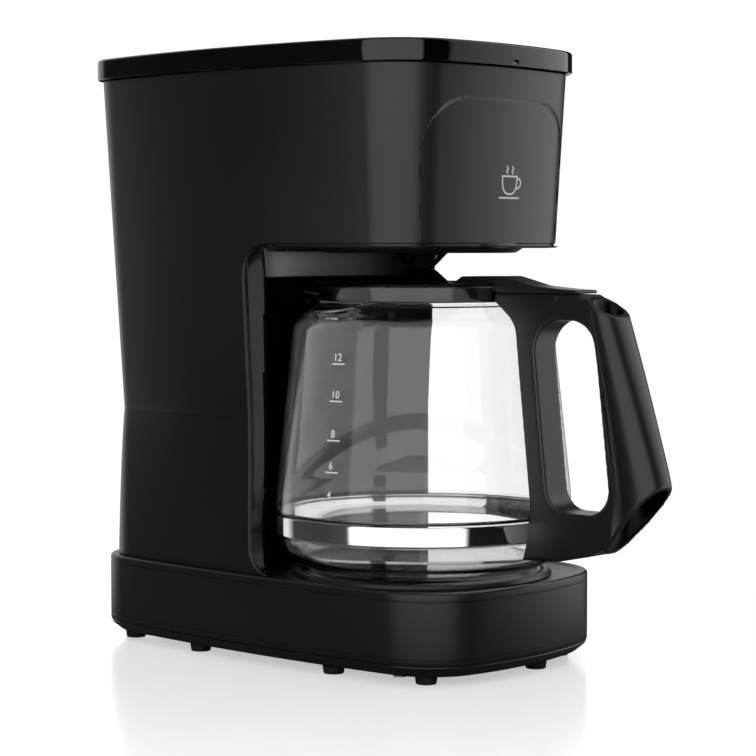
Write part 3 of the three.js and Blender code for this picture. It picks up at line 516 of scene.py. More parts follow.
# ------------------------------------------------------------ base
def grooved(z0, z1, plan, fillet, groove_heights, depth=0.35, foot=0.6):
    """Levels of an upright wall with small rounded edges and fine grooves."""
    levels = [(z0, inset(plan, foot)), (z0 + foot * 0.3, inset(plan, foot * 0.3)), (z0 + foot, plan)]
    for z in groove_heights:
        groove = inset(plan, depth)
        levels += [(z - 0.5, plan), (z - 0.25, groove), (z + 0.25, groove), (z + 0.5, plan)]
    for a in quarter(6):
        levels.append((z1 - fillet + fillet * math.sin(a), inset(plan, fillet * (1 - math.cos(a)))))
    return levels


def make_base():
    levels = grooved(BASE_BOTTOM, BASE_TOP, BASE_PLAN, 1.6, [14.0, 43.6])
    for d, share in ((3.6, 0), (4.1, 0.25), (4.9, 0.8), (5.6, 1)):
        levels.append((BASE_TOP, inset(BASE_PLAN, d), share))
    points, faces, count = shell_levels(levels, lambda y: 1.1 * smooth_step((29 - y) / 6))
    faces += strip_cap((len(levels) - 1) * count, count)
    shell = thickened(raw("base_shell", points, faces), WALL)
    ring = [
        (62.6, 46.2), (69.6, 46.2), (70.4, 47.2), (69.4, 49.1, 1), (68.2, 49.4, 1), (66.2, 49.4, 0.5),
        (65.8, 47.4), (62.6, 47.4),
    ]
    joined(shell, raw_lathe("ring", rounded(ring), 128))
    finish_piece(shell, "machine", "satin_black_plastic", BODY, ["base_housing"], 32)
    make_bottom()
    for name in sorted(n for n in frame["nodes"] if n.startswith("foot_")):
        a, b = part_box(name)
        x, y = (a.x + b.x) * 500, (a.y + b.y) * 500 - SHIFT
        profile = [(0, 0.2), (3.4, 0.2), (3.6, 0), (5.3, 0, 0.4), (5.9, 4.2), (0, 4.2)]
        turned(f"{name}_pad", profile, "machine", "black_rubber", RUBBER, [name], 40, x, y)


def make_bottom():
    """The bottom cover with its vents and screw wells."""
    low = inset(BASE_PLAN, 6.2)
    lip = inset(BASE_PLAN, 0.5)
    levels = [
        (4.5, inset(low, 12)), (4.5, inset(low, 1)), (4.8, low), (5.4, inset(low, -0.9)),
        (BASE_BOTTOM - 2.0, inset(lip, 0.5)), (BASE_BOTTOM - 0.9, lip),
        (BASE_BOTTOM - 0.3, inset(lip, 0.3)),
    ]
    points, faces, count = shell_levels(levels)
    faces += [face[::-1] for face in strip_cap(0, count)]
    cover = thickened(raw("bottom_shell", points, faces), INNER_WALL)
    cutters = []
    for y in range(-30, 30, 12):
        vent = [(-14, y, 1.9), (14, y, 1.9), (14, y + 4, 1.9), (-14, y + 4, 1.9)]
        cutters.append(prism("cut", vent, "z", 0, 9))
    well = [(0, 0), (3.9, 0), (3.9, 4.9), (1.8, 4.9), (1.8, 9), (0, 9)]
    for x, y in ((-62, -52), (62, -52), (-60, 136), (60, 136)):
        cutters.append(raw_lathe("cut", well, 32, x, y))
    cut_out(cover, *cutters)
    finish_piece(cover, "machine", "satin_black_plastic", DARK, ["bottom_cover"], 32)


# ------------------------------------------------------------ tower and head
FILLET = 2.0
EDGE = 0.8
SEAM_EDGE = 0.16
CEILING_DROP = 2.4


def profile_at(s):
    """A point of the bay's side profile, its normal into the body, and the size of the rim's outer fillet.
    s runs from 0 at the deck, by 1 and 2 at the ends of the straight back, to 3 under the head."""
    if s <= 1:
        a = math.pi / 2 * s
        n = (math.sin(a), -math.cos(a))
        r = BAY_LOW_CORNER
        centre = (BAY_BACK - r, BASE_TOP + GAP + r)
    elif s >= 2:
        a = math.pi / 2 * (s - 2)
        n = (math.cos(a), math.sin(a))
        r = BAY_TOP_CORNER
        centre = (BAY_BACK - r, HEAD_BOTTOM - GAP - r)
    else:
        low, high = BASE_TOP + GAP + BAY_LOW_CORNER, HEAD_BOTTOM - GAP - BAY_TOP_CORNER
        n = (1.0, 0.0)
        r = 0
        centre = (BAY_BACK, low + (high - low) * (s - 1))
    p = (centre[0] + r * n[0], centre[1] + r * n[1])
    fillet = FILLET - (FILLET - EDGE) * smooth_step((s - 2.5) / 0.5)
    return p, n, float(fillet)


PROFILE_STEPS = np.concatenate([
    np.linspace(0, 1, 14)[:-1], np.linspace(1, 2, 24)[:-1], np.linspace(2, 3, 18),
])


def grown(s):
    (y, z), (ny, nz), r = profile_at(s)
    return y + ny * r, z + nz * r


def tower_rows(z0, z1):
    """Heights of the tower's outer skin, each with the y of the bay's edge."""
    edges = [grown(s) for s in PROFILE_STEPS]
    heights = [z0] + [z for _, z in edges if z0 + 0.4 < z < z1 - 0.4] + [z1]
    return [(z, float(np.interp(z, [e[1] for e in edges], [e[0] for e in edges]))) for z in heights]


def mirrored(right):
    """The left half, in reverse, and then the right half of a row of points."""
    right = np.array(right)
    return np.concatenate([right[1:][::-1] * np.array([-1, 1, 1]), right])


def tower_row(z, y_end, d=0.0):
    points = []
    for (c, r, a, b), n in zip(arcs(inset(body_plan(z), d))[::-1], (8, 14, 30)):
        if n == 30:
            angles = np.linspace(b, math.asin((y_end - c[1]) / r), n + 1)
        else:
            angles = np.linspace(b, a, n + 1)[:-1]
        points += [(c[0] + r * math.cos(t), c[1] + r * math.sin(t), z) for t in angles]
    return mirrored(points)


def seam_row(seam, side, a):
    """A level of the small rounded edge above or below the seam, at an angle from the seam itself."""
    z = seam + side * SEAM_EDGE * (1 - math.cos(a))
    return tower_row(z, BAY_BACK + FILLET, SEAM_EDGE * (1 - math.sin(a)))


def make_tower():
    seam = WAIST - 0.05
    rows = [tower_row(z, y) for z, y in tower_rows(BASE_TOP + GAP, seam - SEAM_EDGE)]
    for a in quarter(3, 1):
        rows.append(seam_row(seam, -1, math.pi / 2 - a))
    sheet = raw_open("tower_shell", np.concatenate(rows), ring_faces(len(rows), len(rows[0]), False))
    thickened(sheet, WALL, use_even_offset=True)
    finish_piece(sheet, "machine", "satin_black_plastic", BODY, ["lower_tower"], 32)


ARCH = dict(half_low=55.5, half_high=59.5, top=297.0, corner=30.0, depth=1.0)


def arch_distance(x, z):
    """Signed distance to the edge of the front's shallow arched panel, positive inside."""
    t = (z - HEAD_BOTTOM) / (ARCH["top"] - HEAD_BOTTOM)
    half = ARCH["half_low"] + (ARCH["half_high"] - ARCH["half_low"]) * t
    u = half - np.abs(x)
    v = ARCH["top"] - z
    r = ARCH["corner"]
    inside = np.minimum(u, v)
    corner = r - np.hypot(np.maximum(r - u, 0), np.maximum(r - v, 0))
    return np.where((u < r) & (v < r), corner, inside)


def front_row(z, split_y, d=0.0):
    """The head's outline ahead of the split, left to right by the front, without its two ends."""
    out = []
    for (c, r, a, b), n in zip(arcs(inset(body_plan(z), d)), (70, 70, 12)):
        if n == 12:
            b = math.asin((split_y - c[1]) / r)
        out += [(c[0] + r * math.cos(t), c[1] + r * math.sin(t), z) for t in np.linspace(a, b, n + 1)[:-1]]
    right = np.array(out)
    # inside its edge the arched panel steps back by its depth
    dist = arch_distance(right[:, 0], right[:, 2])
    right[:, 1] += ARCH["depth"] * smooth_step(dist / 0.9 + 0.5) * (right[:, 1] < -30)
    return mirrored(right)


def make_head():
    seam = WAIST + 0.05
    rows = []
    for a in quarter(3)[:3]:
        rows.append(seam_row(seam, 1, a))
    z_edge = grown(PROFILE_STEPS[-1])[1]
    rows += [tower_row(z, y) for z, y in tower_rows(seam + SEAM_EDGE, z_edge)]
    split_y = rows[-1][-1][1]
    open_count = len(rows[0])
    faces = ring_faces(len(rows), open_count, False)

    # above the bay the outline is whole, up to a small rounded edge
    levels = [(z, 0.0) for z in [z_edge, *np.arange(z_edge + 0.7, BODY_TOP - 0.9, 0.75), BODY_TOP - 0.6]]
    levels += [(BODY_TOP - 0.6 + 0.6 * math.sin(a), 0.6 * (1 - math.cos(a))) for a in quarter(3, 1)]
    full = [np.concatenate([tower_row(z, split_y, d), front_row(z, split_y, d)[::-1]]) for z, d in levels]
    base = (len(rows) - 1) * open_count
    faces += [tuple(base + v for v in f) for f in ring_faces(len(full), len(full[0]))]

    # the head's lower edge, rounded under
    below = []
    for a in quarter(3, 1):
        z = z_edge - math.sin(a) * (z_edge - HEAD_BOTTOM)
        below.append(front_row(z, split_y, EDGE * (1 - math.cos(a)))[::-1])
    count = len(below[0])
    points = np.concatenate(rows[:-1] + full)
    size = len(points)
    right_end, left_end = base + open_count - 1, base
    previous = [base + open_count + i for i in range(count)]
    for k in range(3):
        here = [size + k * count + i for i in range(count)]
        for i in range(count - 1):
            faces.append((previous[i], previous[i + 1], here[i + 1], here[i]))
        faces.append((previous[0], here[0], right_end))
        faces.append((previous[-1], left_end, here[-1]))
        previous = here
    shell = thickened(raw_open("head_shell", np.concatenate([points] + below), faces), WALL)
    finish_piece(shell, "machine", "satin_black_plastic", BODY, ["upper_housing"], 32)


def liner_row(s):
    """One level of the bay's wall, from its left rim by the middle to its right rim."""
    (y, z), (ny, nz), r = profile_at(s)
    x_rim = side_x(y + ny * r, z + nz * r) - r
    turn = math.pi / 2 * 0.96
    x = x_rim * np.sin(np.linspace(-turn, turn, 121)) / math.sin(turn)
    # away from the rim the wall is upright and slightly hollow until just under the head
    inside = smooth_step((x_rim - np.abs(x)) / 8) * (1 - smooth_step((s - 2.7) / 0.3))
    hollow = BAY_BACK + (BAY_HOLLOW_HALF ** 2 - x ** 2) / (2 * BAY_HOLLOW_RADIUS)
    y = y + (hollow - y) * inside * smooth_step((s - 1) / 0.3)
    # below its ceiling the round pocket for the carafe is cut into it, with a soft edge
    pocket = AXIS_Y + np.sqrt(np.maximum(BAY_RADIUS ** 2 - x ** 2, 0))
    near = np.maximum(BLEND - np.abs(pocket - y), 0) / BLEND
    cut = np.maximum(pocket, y) + near * near * BLEND / 4
    wall = y + (cut - y) * math.sqrt(float(np.clip((POCKET_TOP - z) / CEILING_DROP, 0, 1)))
    rim = []
    for a in quarter(6, 1):
        grow = r * (1 - math.cos(a))
        rim.append((x_rim + r * math.sin(a), wall[-1] + ny * grow, z + nz * grow))
    right = np.array(rim)
    middle = np.column_stack([x, wall, np.full(len(x), z)])
    return np.concatenate([right[::-1] * np.array([-1, 1, 1]), middle, right])


def make_liner():
    """The wall behind the carafe, its pocket and its rounded rim, as one moulding."""
    heights = [profile_at(s)[0][1] for s in PROFILE_STEPS]
    extra = [POCKET_TOP + d for d in (-CEILING_DROP, -1.6, -0.8, -0.3, 0, 0.02)]
    steps = sorted([*PROFILE_STEPS, *np.interp(extra, heights, PROFILE_STEPS)])
    rows = [liner_row(float(s)) for s in steps]
    faces = ring_faces(len(rows), len(rows[0]), False)
    sheet = raw_open("bay_wall", np.concatenate(rows), faces, (0, -20, 130))
    sheet.data.flip_normals()
    shell = thickened(sheet, LINER_WALL)
    finish_piece(shell, "machine", "satin_black_plastic", LINER, ["bay_liner"], 40)
    axis = Vector(row([(0, AXIS_Y, 0)])[0])

    def in_pocket(place):
        reach = (place - axis).to_2d().length * 1000
        return abs(reach - BAY_RADIUS - LINER_WALL / 2) < 2 and place.z < (POCKET_TOP + 0.2) / 1000

    # painted shade: the pocket's faces below its ceiling get the near-black matt material, for the carafe's
    # shadow and reflection on the wall
    paint(shell, POCKET_SHADE, in_pocket)


def make_underside():
    z = HEAD_BOTTOM - GAP
    plan = body_plan(z)
    rim = ((0, 3.0), (1.5, 3.2), (2.0, 3.7), (2.0, 8))
    levels = [(z - down, inset(plan, margin)) for down, margin in rim]
    points, faces, count = shell_levels(levels)
    points = [(x, min(y, UNDERSIDE_BACK), h) for x, y, h in points]
    faces += strip_cap((len(levels) - 1) * count, count)
    panel = thickened(raw_open("underside_panel", points, faces, (0, 0, 400)), INNER_WALL)
    disc = [
        (14.8, z + 1), (14.8, z - 2.2, 0.5), (17, z - 2.6, 1), (30, z - 3.2, 10), (50.5, z - 4.6, 3),
        (55, z - 1.6, 1), (55, z + 1),
    ]
    points, faces = lathe_mesh(rounded(disc), 128)
    joined(panel, raw("dish", [(x, min(y, UNDERSIDE_BACK), h) for x, y, h in points], faces))
    finish_piece(panel, "machine", "satin_black_plastic", BODY, ["head_underside"], 32)


def make_lid():
    r = 1.6
    top = LID_TOP - 0.4
    plan = dict(LID_PLAN, half=LID_PLAN["half"] - 0.35, back=LID_PLAN["back"] - 0.05)
    levels = [(LID_BOTTOM + up, inset(plan, d)) for up, d in ((0, 0.5), (0.15, 0.15), (0.5, 0))]
    levels += [(top - r + r * math.sin(a), inset(plan, r * (1 - math.cos(a)))) for a in quarter(8)]
    for d, rise in ((3, 0.05), (6, 0.12), (12, 0.22), (24, 0.3), (40, 0.36), (60, 0.4)):
        levels.append((top + rise, inset(plan, d)))
    points, faces, count = shell_levels(levels)
    faces += strip_cap((len(levels) - 1) * count, count)
    shell = thickened(raw_open("lid_shell", points, faces, (0, 50, 318)), WALL)
    face = LID_PLAN["front"]
    notch = [(face - 6, 314.9), (face + 1.4, 315.4, 0.6), (face + 1.4, 317.4, 0.6), (face - 6, 318)]
    cut_out(shell, prism("notch", notch, "x", -2.8, 2.8))
    block = [(166.8, 323), (166.8, 313, 1), (170.4, 309.8, 1.5), (174.7, 309.8, 1.5), (174.7, 323)]
    joined(shell, *[prism("knuckle", block, "x", x - 2.4, x + 2.4) for x in (-38.5, 38.5)])
    finish_piece(shell, "lid", "gloss_black_plastic", GLOSS, ["lid"], 32)


make_base()
make_tower()
make_head()
make_liner()
make_underside()
make_lid()

# ------------------------------------------------------------ hot plate and outlet
def make_plate():
    top = PLATE_TOP
    turned("plate_dish", [
        (0, top - 1.9), (60.5, top - 1.9), (62.4, top - 2.9, 1), (64.8, top - 2.9, 0.5),
        (64.8, top - 1.5, 0.6), (63.0, top - 1.3, 0.6), (61.3, top, 0.7), (59.4, top, 0.7),
        (58.0, top - 0.8, 0.8), (28, top - 0.8, 0.8), (26.6, top - 0.2, 0.8), (25, top - 0.2, 0.8),
        (23.6, top - 0.8, 0.8), (0, top - 0.8),
    ], "machine", "black_enamel", ENAMEL, ["hot_plate"], 144)
    turned("plate_seal", [
        (62.6, 46.2, 0.4), (65.5, 46.2, 0.4), (65.5, 47.4, 0.4), (62.6, 47.4, 0.4),
    ], "machine", "silicone", SILICONE, ["plate_gasket"], 96)


def make_nozzle():
    cone = [
        (11.2, 229.4), (11.2, 218.4, 0.4), (6.0, 211.9, 0.5), (6.0, 211.4, 0.2), (8.0, 211.4, 0.5),
        (8.5, 212.0, 0.5), (14.2, 217.9, 0.5), (14.7, 218.0, 0.4), (14.7, 220.2, 0.4),
        (13.2, 220.4, 0.3), (13.0, 229.4),
    ]
    shell = raw_lathe("nozzle", rounded(cone), 96)
    window = [(-6, 217.0, 0.3), (6, 217.0, 0.3), (1.2, 212.4, 0.3), (-1.2, 212.4, 0.3)]
    cut_out(shell, *[around(prism("window", window, "y", AXIS_Y - 20, AXIS_Y - 3), 90 * i) for i in range(4)])
    finish_piece(shell, "machine", "handle_black_plastic", DARK, ["drip_nozzle"], 32)


def around(obj, degrees):
    """Turns a mesh about the carafe's axis."""
    pivot = Vector(row([(0, AXIS_Y, 0)])[0])
    turn = Matrix.Rotation(math.radians(degrees), 4, "Z")
    obj.data.transform(Matrix.Translation(pivot) @ turn @ Matrix.Translation(-pivot))
    return obj


def tube(route, radius, sides):
    """Vertices and faces of a round tube along the points of a route."""
    p = np.asarray(route, float)
    along = np.gradient(p, axis=0)
    along /= np.linalg.norm(along, axis=1)[:, None]
    side = np.cross(along, (0, 0, 1))
    side /= np.linalg.norm(side, axis=1)[:, None]
    up = np.cross(side, along)
    a = np.linspace(0, 2 * math.pi, sides, endpoint=False)[None, :, None]
    rings = p[:, None] + radius * (np.cos(a) * side[:, None] + np.sin(a) * up[:, None])
    last = (len(p) - 1) * sides
    faces = ring_faces(len(p), sides) + [tuple(range(sides)), tuple(range(last, last + sides))]
    return list(map(tuple, rings.reshape(-1, 3))), faces


def make_basket():
    floor = 232.4
    wall = [
        (4.4, floor - 3, 0.4), (9, floor - 3, 0.5), (9, floor, 0.5), (38, floor, 1.5), (49.2, 299, 1),
        (49.2, 303.3, 0.3), (54.6, 303.3, 0.5), (54.6, 305, 0.6), (47.4, 305, 0.8), (47.4, 299, 1),
        (36.4, floor + 2, 1.5), (4.4, floor + 2, 0.4),
    ]
    near, far = AXIS_Y + 14, AXIS_Y + 38
    rib = [(near, floor + 1.5), (far, floor + 1.5), (far, floor + 6, 0.5), (near, floor + 4, 0.5)]
    tab = [(-14, 298), (14, 298), (14, 309, 3), (-14, 309, 3)]
    body = raw_lathe("basket", rounded(wall), 120)
    ribs = [around(prism("rib", rib, "x", -0.8, 0.8), 60 * i) for i in range(6)]
    joined(body, prism("tab", tab, "y", AXIS_Y - 48.6, AXIS_Y - 45.6, 8), *ribs)
    finish_piece(body, "machine", "satin_black_plastic", INNER, ["brew_basket"], 35)


def make_shower():
    riser = (-52, 72)
    head = [(0, 303.6), (18.6, 303.6, 1), (21, 305.2, 0.8), (21, 306.8, 1), (8, 311, 3), (0, 311.4)]
    socket = [(4.8, 292), (6.6, 292, 0.6), (6.6, 304.4, 1.5), (0, 305), (0, 300.5), (4.8, 300.5)]
    corners = np.array([(*riser, 300), (-44, 58, 309.8), (-20, 20, 310.6), (0, AXIS_Y, 310.4)])
    spans = np.concatenate([[0], np.cumsum(np.linalg.norm(np.diff(corners, axis=0), axis=1))])
    t = np.linspace(0, spans[-1], 40)
    route = np.column_stack([np.polyval(np.polyfit(spans, c, 3), t) for c in corners.T])
    shower = raw_lathe("shower", rounded(head), 96)
    joined(shower, raw("arm", *tube(route, 4.2, 20)), raw_lathe("socket", rounded(socket), 48, *riser))
    finish_piece(shower, "machine", "inner_black_plastic", INNER, ["shower_arm"], 35)


def make_spring():
    low, high, radius, wire, turns = 238.8, 246.9, 5.6, 0.5, 5
    turn = np.linspace(0, 2 * math.pi * turns, turns * 28 + 1)
    x, y = radius * np.cos(turn), AXIS_Y + radius * np.sin(turn)
    coil = np.column_stack([x, y, np.linspace(low, high, len(turn))])
    spring = raw("valve_coil", *tube(coil, wire, 10))
    finish_piece(spring, "drip_valve", "zinc_steel", STEEL, ["valve_spring"], 60)
    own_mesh(spring)


# ------------------------------------------------------------ carafe
WALL_CORNERS = [
    (0, 51.0), (63.5, 51.0, 9), (75.2, 57.2, 12), (78.5, 68.6, 4), (78.8, 79.7, 0.8), (80.9, 81.0, 1.0),
    (80.6, 92.0, 40), (72.6, 165, 60), (70.9, 182, 14), (60.6, 191.0, 6), (57.0, 193.6, 2.2),
    (58.7, NECK_TOP),
]
SPOUT_HALF, SPOUT_REACH, SPOUT_DROP = 0.56, 18.0, 10.0


def glass_radius(z):
    wall = rounded(WALL_CORNERS, False, 5)
    return float(np.interp(z, wall[:, 1], wall[:, 0]))


def spouted(points, low=181.0):
    p = np.array(points, float)
    x, y = p[:, 0], p[:, 1] - AXIS_Y
    reach = smooth_step((p[:, 2] - low) / (NECK_TOP - low))
    around = np.arctan2(x, y) / SPOUT_HALF
    pull = reach * np.exp(-around ** 2)
    r = np.hypot(x, y)
    k = np.where(r > 1, 1 + SPOUT_REACH * pull / np.maximum(r, 1), 1)
    return np.column_stack([x * k, y * k + AXIS_Y, p[:, 2] - SPOUT_DROP * pull])


def make_glass():
    outer = rounded(WALL_CORNERS, False, 5)
    dense = []
    for a, b in zip(outer, outer[1:]):
        n = max(1, int(np.linalg.norm(b - a) / 3))
        dense += [a + (b - a) * k / n for k in range(n)]
    dense = np.array([*dense, outer[-1]])
    along = np.gradient(dense, axis=0)
    normal = np.column_stack([-along[:, 1], along[:, 0]])
    normal /= np.linalg.norm(normal, axis=1)[:, None]
    thick = np.interp(dense[:, 1], [51, 60, 80, 200], [2.6, 2.2, 2.0, 2.0])[:, None]
    inside = dense + normal * thick
    inside[:, 0] = np.maximum(inside[:, 0], 0)
    inside[0, 0] = 0
    middle, half = (dense[-1] + inside[-1]) / 2, (dense[-1] - inside[-1]) / 2
    up = np.array([-half[1], half[0]])
    up = up if up[1] > 0 else -up
    rim = [middle + half * math.cos(a) + up * math.sin(a) for a in np.linspace(0, math.pi, 9)[1:-1]]
    points, faces = lathe_mesh([*dense, *rim, *inside[::-1]], 160, closed=False)
    points = spouted(points)
    points[:, 2] = np.minimum(points[:, 2], NECK_TOP + 0.9)
    outward("glass_jug", points, faces, "carafe", "clear_glass", GLASS, ["carafe_glass"], 50)


def make_band():
    ring = [
        (79.05, 69.6, 0.4), (80.1, 69.2, 0.4), (80.35, 70.2, 0.5), (80.35, 79.2, 0.5), (80.1, 80.0, 0.4),
        (79.05, 79.8, 0.4),
    ]
    lug = [(-93.5, 70.6, 0.6), (-105, 70.6, 1), (-105, 78.8, 1), (-93.5, 78.8, 0.6)]
    band = joined(raw_lathe("band", rounded(ring), 180), prism("lug", lug, "x", -3.4, 3.4))
    finish_piece(band, "carafe", "polished_steel", CHROME, ["steel_band"], 40)


GRIP_SIDES = 72
# Handle grip as (height, edge towards the glass, outer edge, half width).
GRIP = np.array([
    (52, -128.0, -171.0, 12.4), (60, -133.5, -172.4, 12.4), (68, -138.5, -173.4, 12.4),
    (80, -141.6, -174.0, 12.4), (92, -143.0, -174.0, 12.4), (104, -142.0, -172.4, 12.4),
    (135, -138.0, -162.6, 12.4), (160, -134.0, -154.4, 12.4), (186, -129.0, -145.4, 12.0),
    (204, -125.6, -139.6, 11.6),
])


def grip_at(heights):
    return [np.interp(heights, GRIP[:, 0], GRIP[:, i]) for i in (1, 2, 3)]


def grip_solid(name, shrink):
    """The oval grip from bottom to top, smaller all round by shrink."""
    kernel = np.ones(7) / 7
    heights = np.linspace(GRIP[0, 0], GRIP[-1, 0], 60)
    near, far, half = (
        np.convolve(np.pad(v, 3, "reflect", reflect_type="odd"), kernel, "valid") for v in grip_at(heights)
    )
    t = 2 * math.pi * np.arange(GRIP_SIDES) / GRIP_SIDES
    c, s = (np.copysign(np.abs(v) ** 0.85, v) for v in (np.cos(t), np.sin(t)))
    points = []
    for z, a, b, w in zip(heights, near - shrink, far + shrink, half - shrink):
        points += list(np.column_stack([w * c, (a + b) / 2 + (a - b) / 2 * s, np.full(GRIP_SIDES, z)]))
    faces = ring_faces(len(heights), GRIP_SIDES)
    last = (len(heights) - 1) * GRIP_SIDES
    faces += [list(range(GRIP_SIDES))[::-1], [last + k for k in range(GRIP_SIDES)]]
    return raw(name, points, faces)


def jug_room(grow):
    """A solid a little larger than the jug, to cut the handle back from the glass."""
    wall = [(r + grow, z) for r, z in rounded(WALL_CORNERS, False, 5)[1:]]
    profile = [(0, 49), (63.5 + grow, 49), *wall, (58.7 + grow, 203), (0, 203)]
    return raw_lathe("jug", profile, 96)


def softened(obj, voxel, times):
    return applied(obj, ("REMESH", dict(mode="VOXEL", voxel_size=voxel / 1000, adaptivity=0)),
                   ("SMOOTH", dict(factor=0.5, iterations=times)))


def make_handle():
    side = [
        (-60, 197.6), (-125, 197.6, 4), (-139, 189, 4), (-152, 140, 30), (-164, 104, 8), (-156, 80, 6),
        (-132, 66, 8), (-112, 61.6, 20), (-60, 58.8),
    ]
    solid_part = [(-141.5, 70), (-60, 70), (-60, 92), (-141.5, 92)]
    hole = [(-94.6, 184.4, 16), (-133, 184.4, 16), (-144.6, 87, 13), (-105.6, 87, 13)]
    mouth = [(-185, 118), (-172.6, 104), (-139, 67.4, 10), (-118, 57.5), (-118, 44), (-185, 44)]
    top = [(-185, 163), (-145.6, 186), (-126, 197.5), (-118, 197.55), (-118, 210), (-185, 210)]
    slot = [(-4.2, 190.6), (4.2, 190.6), (4.2, 205), (-4.2, 205)]
    body = prism("handle", side, "x", -9.5, 9.5, 4)
    unite(body, grip_solid("grip", 0))
    hollow = cut_out(grip_solid("hollow", 2.8), prism("solid_part", solid_part, "x", -20, 20))
    cut_out(
        body, hollow, prism("hole", hole, "x", -20, 20, 4), prism("mouth", mouth, "x", -20, 20, 4),
        prism("top", top, "x", -20, 20), prism("slot", slot, "y", -116.5, -101.5), jug_room(0.5),
    )
    softened(body, 0.75, 7)
    finish_piece(body, "carafe", "handle_black_plastic", HANDLE, ["carafe_handle"], 60)
    origin = Vector(row([(0, 0, 0)])[0])
    depth = 1.6

    def inside_grip(place):
        x, y, z = (place - origin) * 1000
        near, far, half = grip_at(z)
        return (x / (half - depth)) ** 2 + ((y - (near + far) / 2) / ((near - far) / 2 - depth)) ** 2 < 1

    # painted shade: the faces inside the grip's hollow get the near-black material, for the shade deep in the
    # hollow
    paint(body, DEEP_BLACK_AND_SHADE, inside_grip)
    pin = [(0, 9.75), (1.5, 9.75, 0.4), (1.9, 9.35, 0.3), (1.9, -9.35, 0.3), (1.5, -9.75, 0.4), (0, -9.75)]
    points, faces = lathe_mesh(rounded(pin), 32, 0, 0)
    turned_over = [(z, x + LID_PIN[0], y + LID_PIN[1]) for x, y, z in points]
    outward("lid_pin_cap", turned_over, faces, "carafe", "handle_black_plastic", DARK, ["carafe_lid_pin"], 35)


def make_carafe_lid():
    z = 202.6
    cap = [
        (0, z - 2.4), (52.0, z - 2.4, 0.4), (52.0, 191.2, 0.5), (53.8, 191.2, 0.5), (53.8, 200.4, 0.4),
        (57.3, 200.4, 0.6), (57.6, 201.8, 0.5), (56.6, z, 0.7), (50.4, z, 0.5), (49.4, z - 0.9, 0.5),
        (16.8, z - 0.9, 1.2), (14.6, z + 0.6, 1), (8.4, DOME_TOP - 0.6, 1), (7.0, DOME_TOP, 0.5),
        (0, DOME_TOP),
    ]
    points, faces = lathe_mesh(rounded(cap, True, 12), 144)
    outward("lid_disc", points, faces, "carafe_lid", "handle_black_plastic", DEEP_BLACK_AND_SHADE, ["carafe_lid"], 32)
    side = [
        (-41, 201.6), (-41, z + 0.2), (-43.6, z + 0.8, 2), (-48, 206.1, 3), (-75, 206.4, 12),
        (-94.2, 201.6, 14), (-113, 200.1, 6), (-122.8, 199.7, 0.5), (-123.4, 197.9, 0.4), (-70, 197.7),
        (-60, 199.9, 2),
    ]
    knuckle = [(-112.6, 199), (-106.4, 199), (-106.2, 194.6, 3), (LID_PIN[0], 191.4, 3), (-112.8, 194.6, 3)]
    arm = unite(prism("arm", side, "x", -8.6, 8.6, 4), prism("knuckle", knuckle, "x", -3.5, 3.5, 4))
    softened(arm, 0.5, 4)
    finish_piece(arm, "carafe_lid", "handle_black_plastic", HANDLE, (), 60)


# ------------------------------------------------------------ printed marks
MARK_TURN = 0.09
CUP_HEIGHTS = {12: 161.6, 10: 142.6, 8: 122.6, 6: 106.4, 4: 91.6}
BADGE_X, BADGE_Z = 5.5, 254.0


def on_glass(u, v, lift):
    """A point of the jug's left side: u along the wall from its middle, towards the front, v the height."""
    r = glass_radius(v) + lift
    a = math.pi + MARK_TURN + u / r
    return r * math.cos(a), AXIS_Y + r * math.sin(a), v


def text_outline(text, size):
    curve = bpy.data.curves.new("digits", "FONT")
    curve.body = text
    curve.size = size
    curve.align_x = "CENTER"
    curve.offset = 0.03
    obj = new_object("digits", curve)
    mesh = evaluated_mesh(obj)
    points = [tuple(v.co) for v in mesh.vertices]
    faces = [list(p.vertices) for p in mesh.polygons]
    bpy.data.objects.remove(obj)
    return points, faces


def printed(obj, axis, thickness):
    """Turns a printed sheet towards the low side of an axis and gives it its thickness."""
    if sum(f.normal[axis] * f.area for f in obj.data.polygons) > 0:
        obj.data.flip_normals()
    return applied(obj, ("SOLIDIFY", dict(thickness=thickness / 1000, offset=0)))


def make_marks():
    sheets = []
    steps, half_length, half_width = 8, 3.9, 0.35
    for cups, z in CUP_HEIGHTS.items():
        points, faces = text_outline(str(cups), 5.4)
        sheets.append(([(u - 0.6, z + 1.6 + v) for u, v, _ in points], faces))
        along = np.linspace(-half_length, half_length, steps + 1)
        bar = [(u, z + h) for h in (-half_width, half_width) for u in along]
        sheets.append((bar, [(k, k + 1, k + steps + 2, k + steps + 1) for k in range(steps)]))
    points, faces = merged(*sheets)
    obj = raw("cup_marks", [on_glass(u, v, 0.12) for u, v in points], faces)
    finish_piece(printed(obj, 0, 0.08), "carafe", "white_plastic", PRINT, (), 35)


def stroke(points, width):
    """A line of even width with round ends, as flat polygons."""
    p = np.array(points, float)
    t = np.gradient(p, axis=0)
    t /= np.linalg.norm(t, axis=1)[:, None]
    n = np.column_stack([-t[:, 1], t[:, 0]]) * width / 2
    caps = []
    for end, way in ((0, -1), (-1, 1)):
        start = math.atan2(n[end][1], n[end][0])
        sweep = [start - way * math.pi * k / 8 for k in range(1, 8)]
        caps.append([p[end] + np.array([math.cos(a), math.sin(a)]) * width / 2 for a in sweep])
    return [*(p + n), *caps[1], *(p - n)[::-1], *caps[0][::-1]]


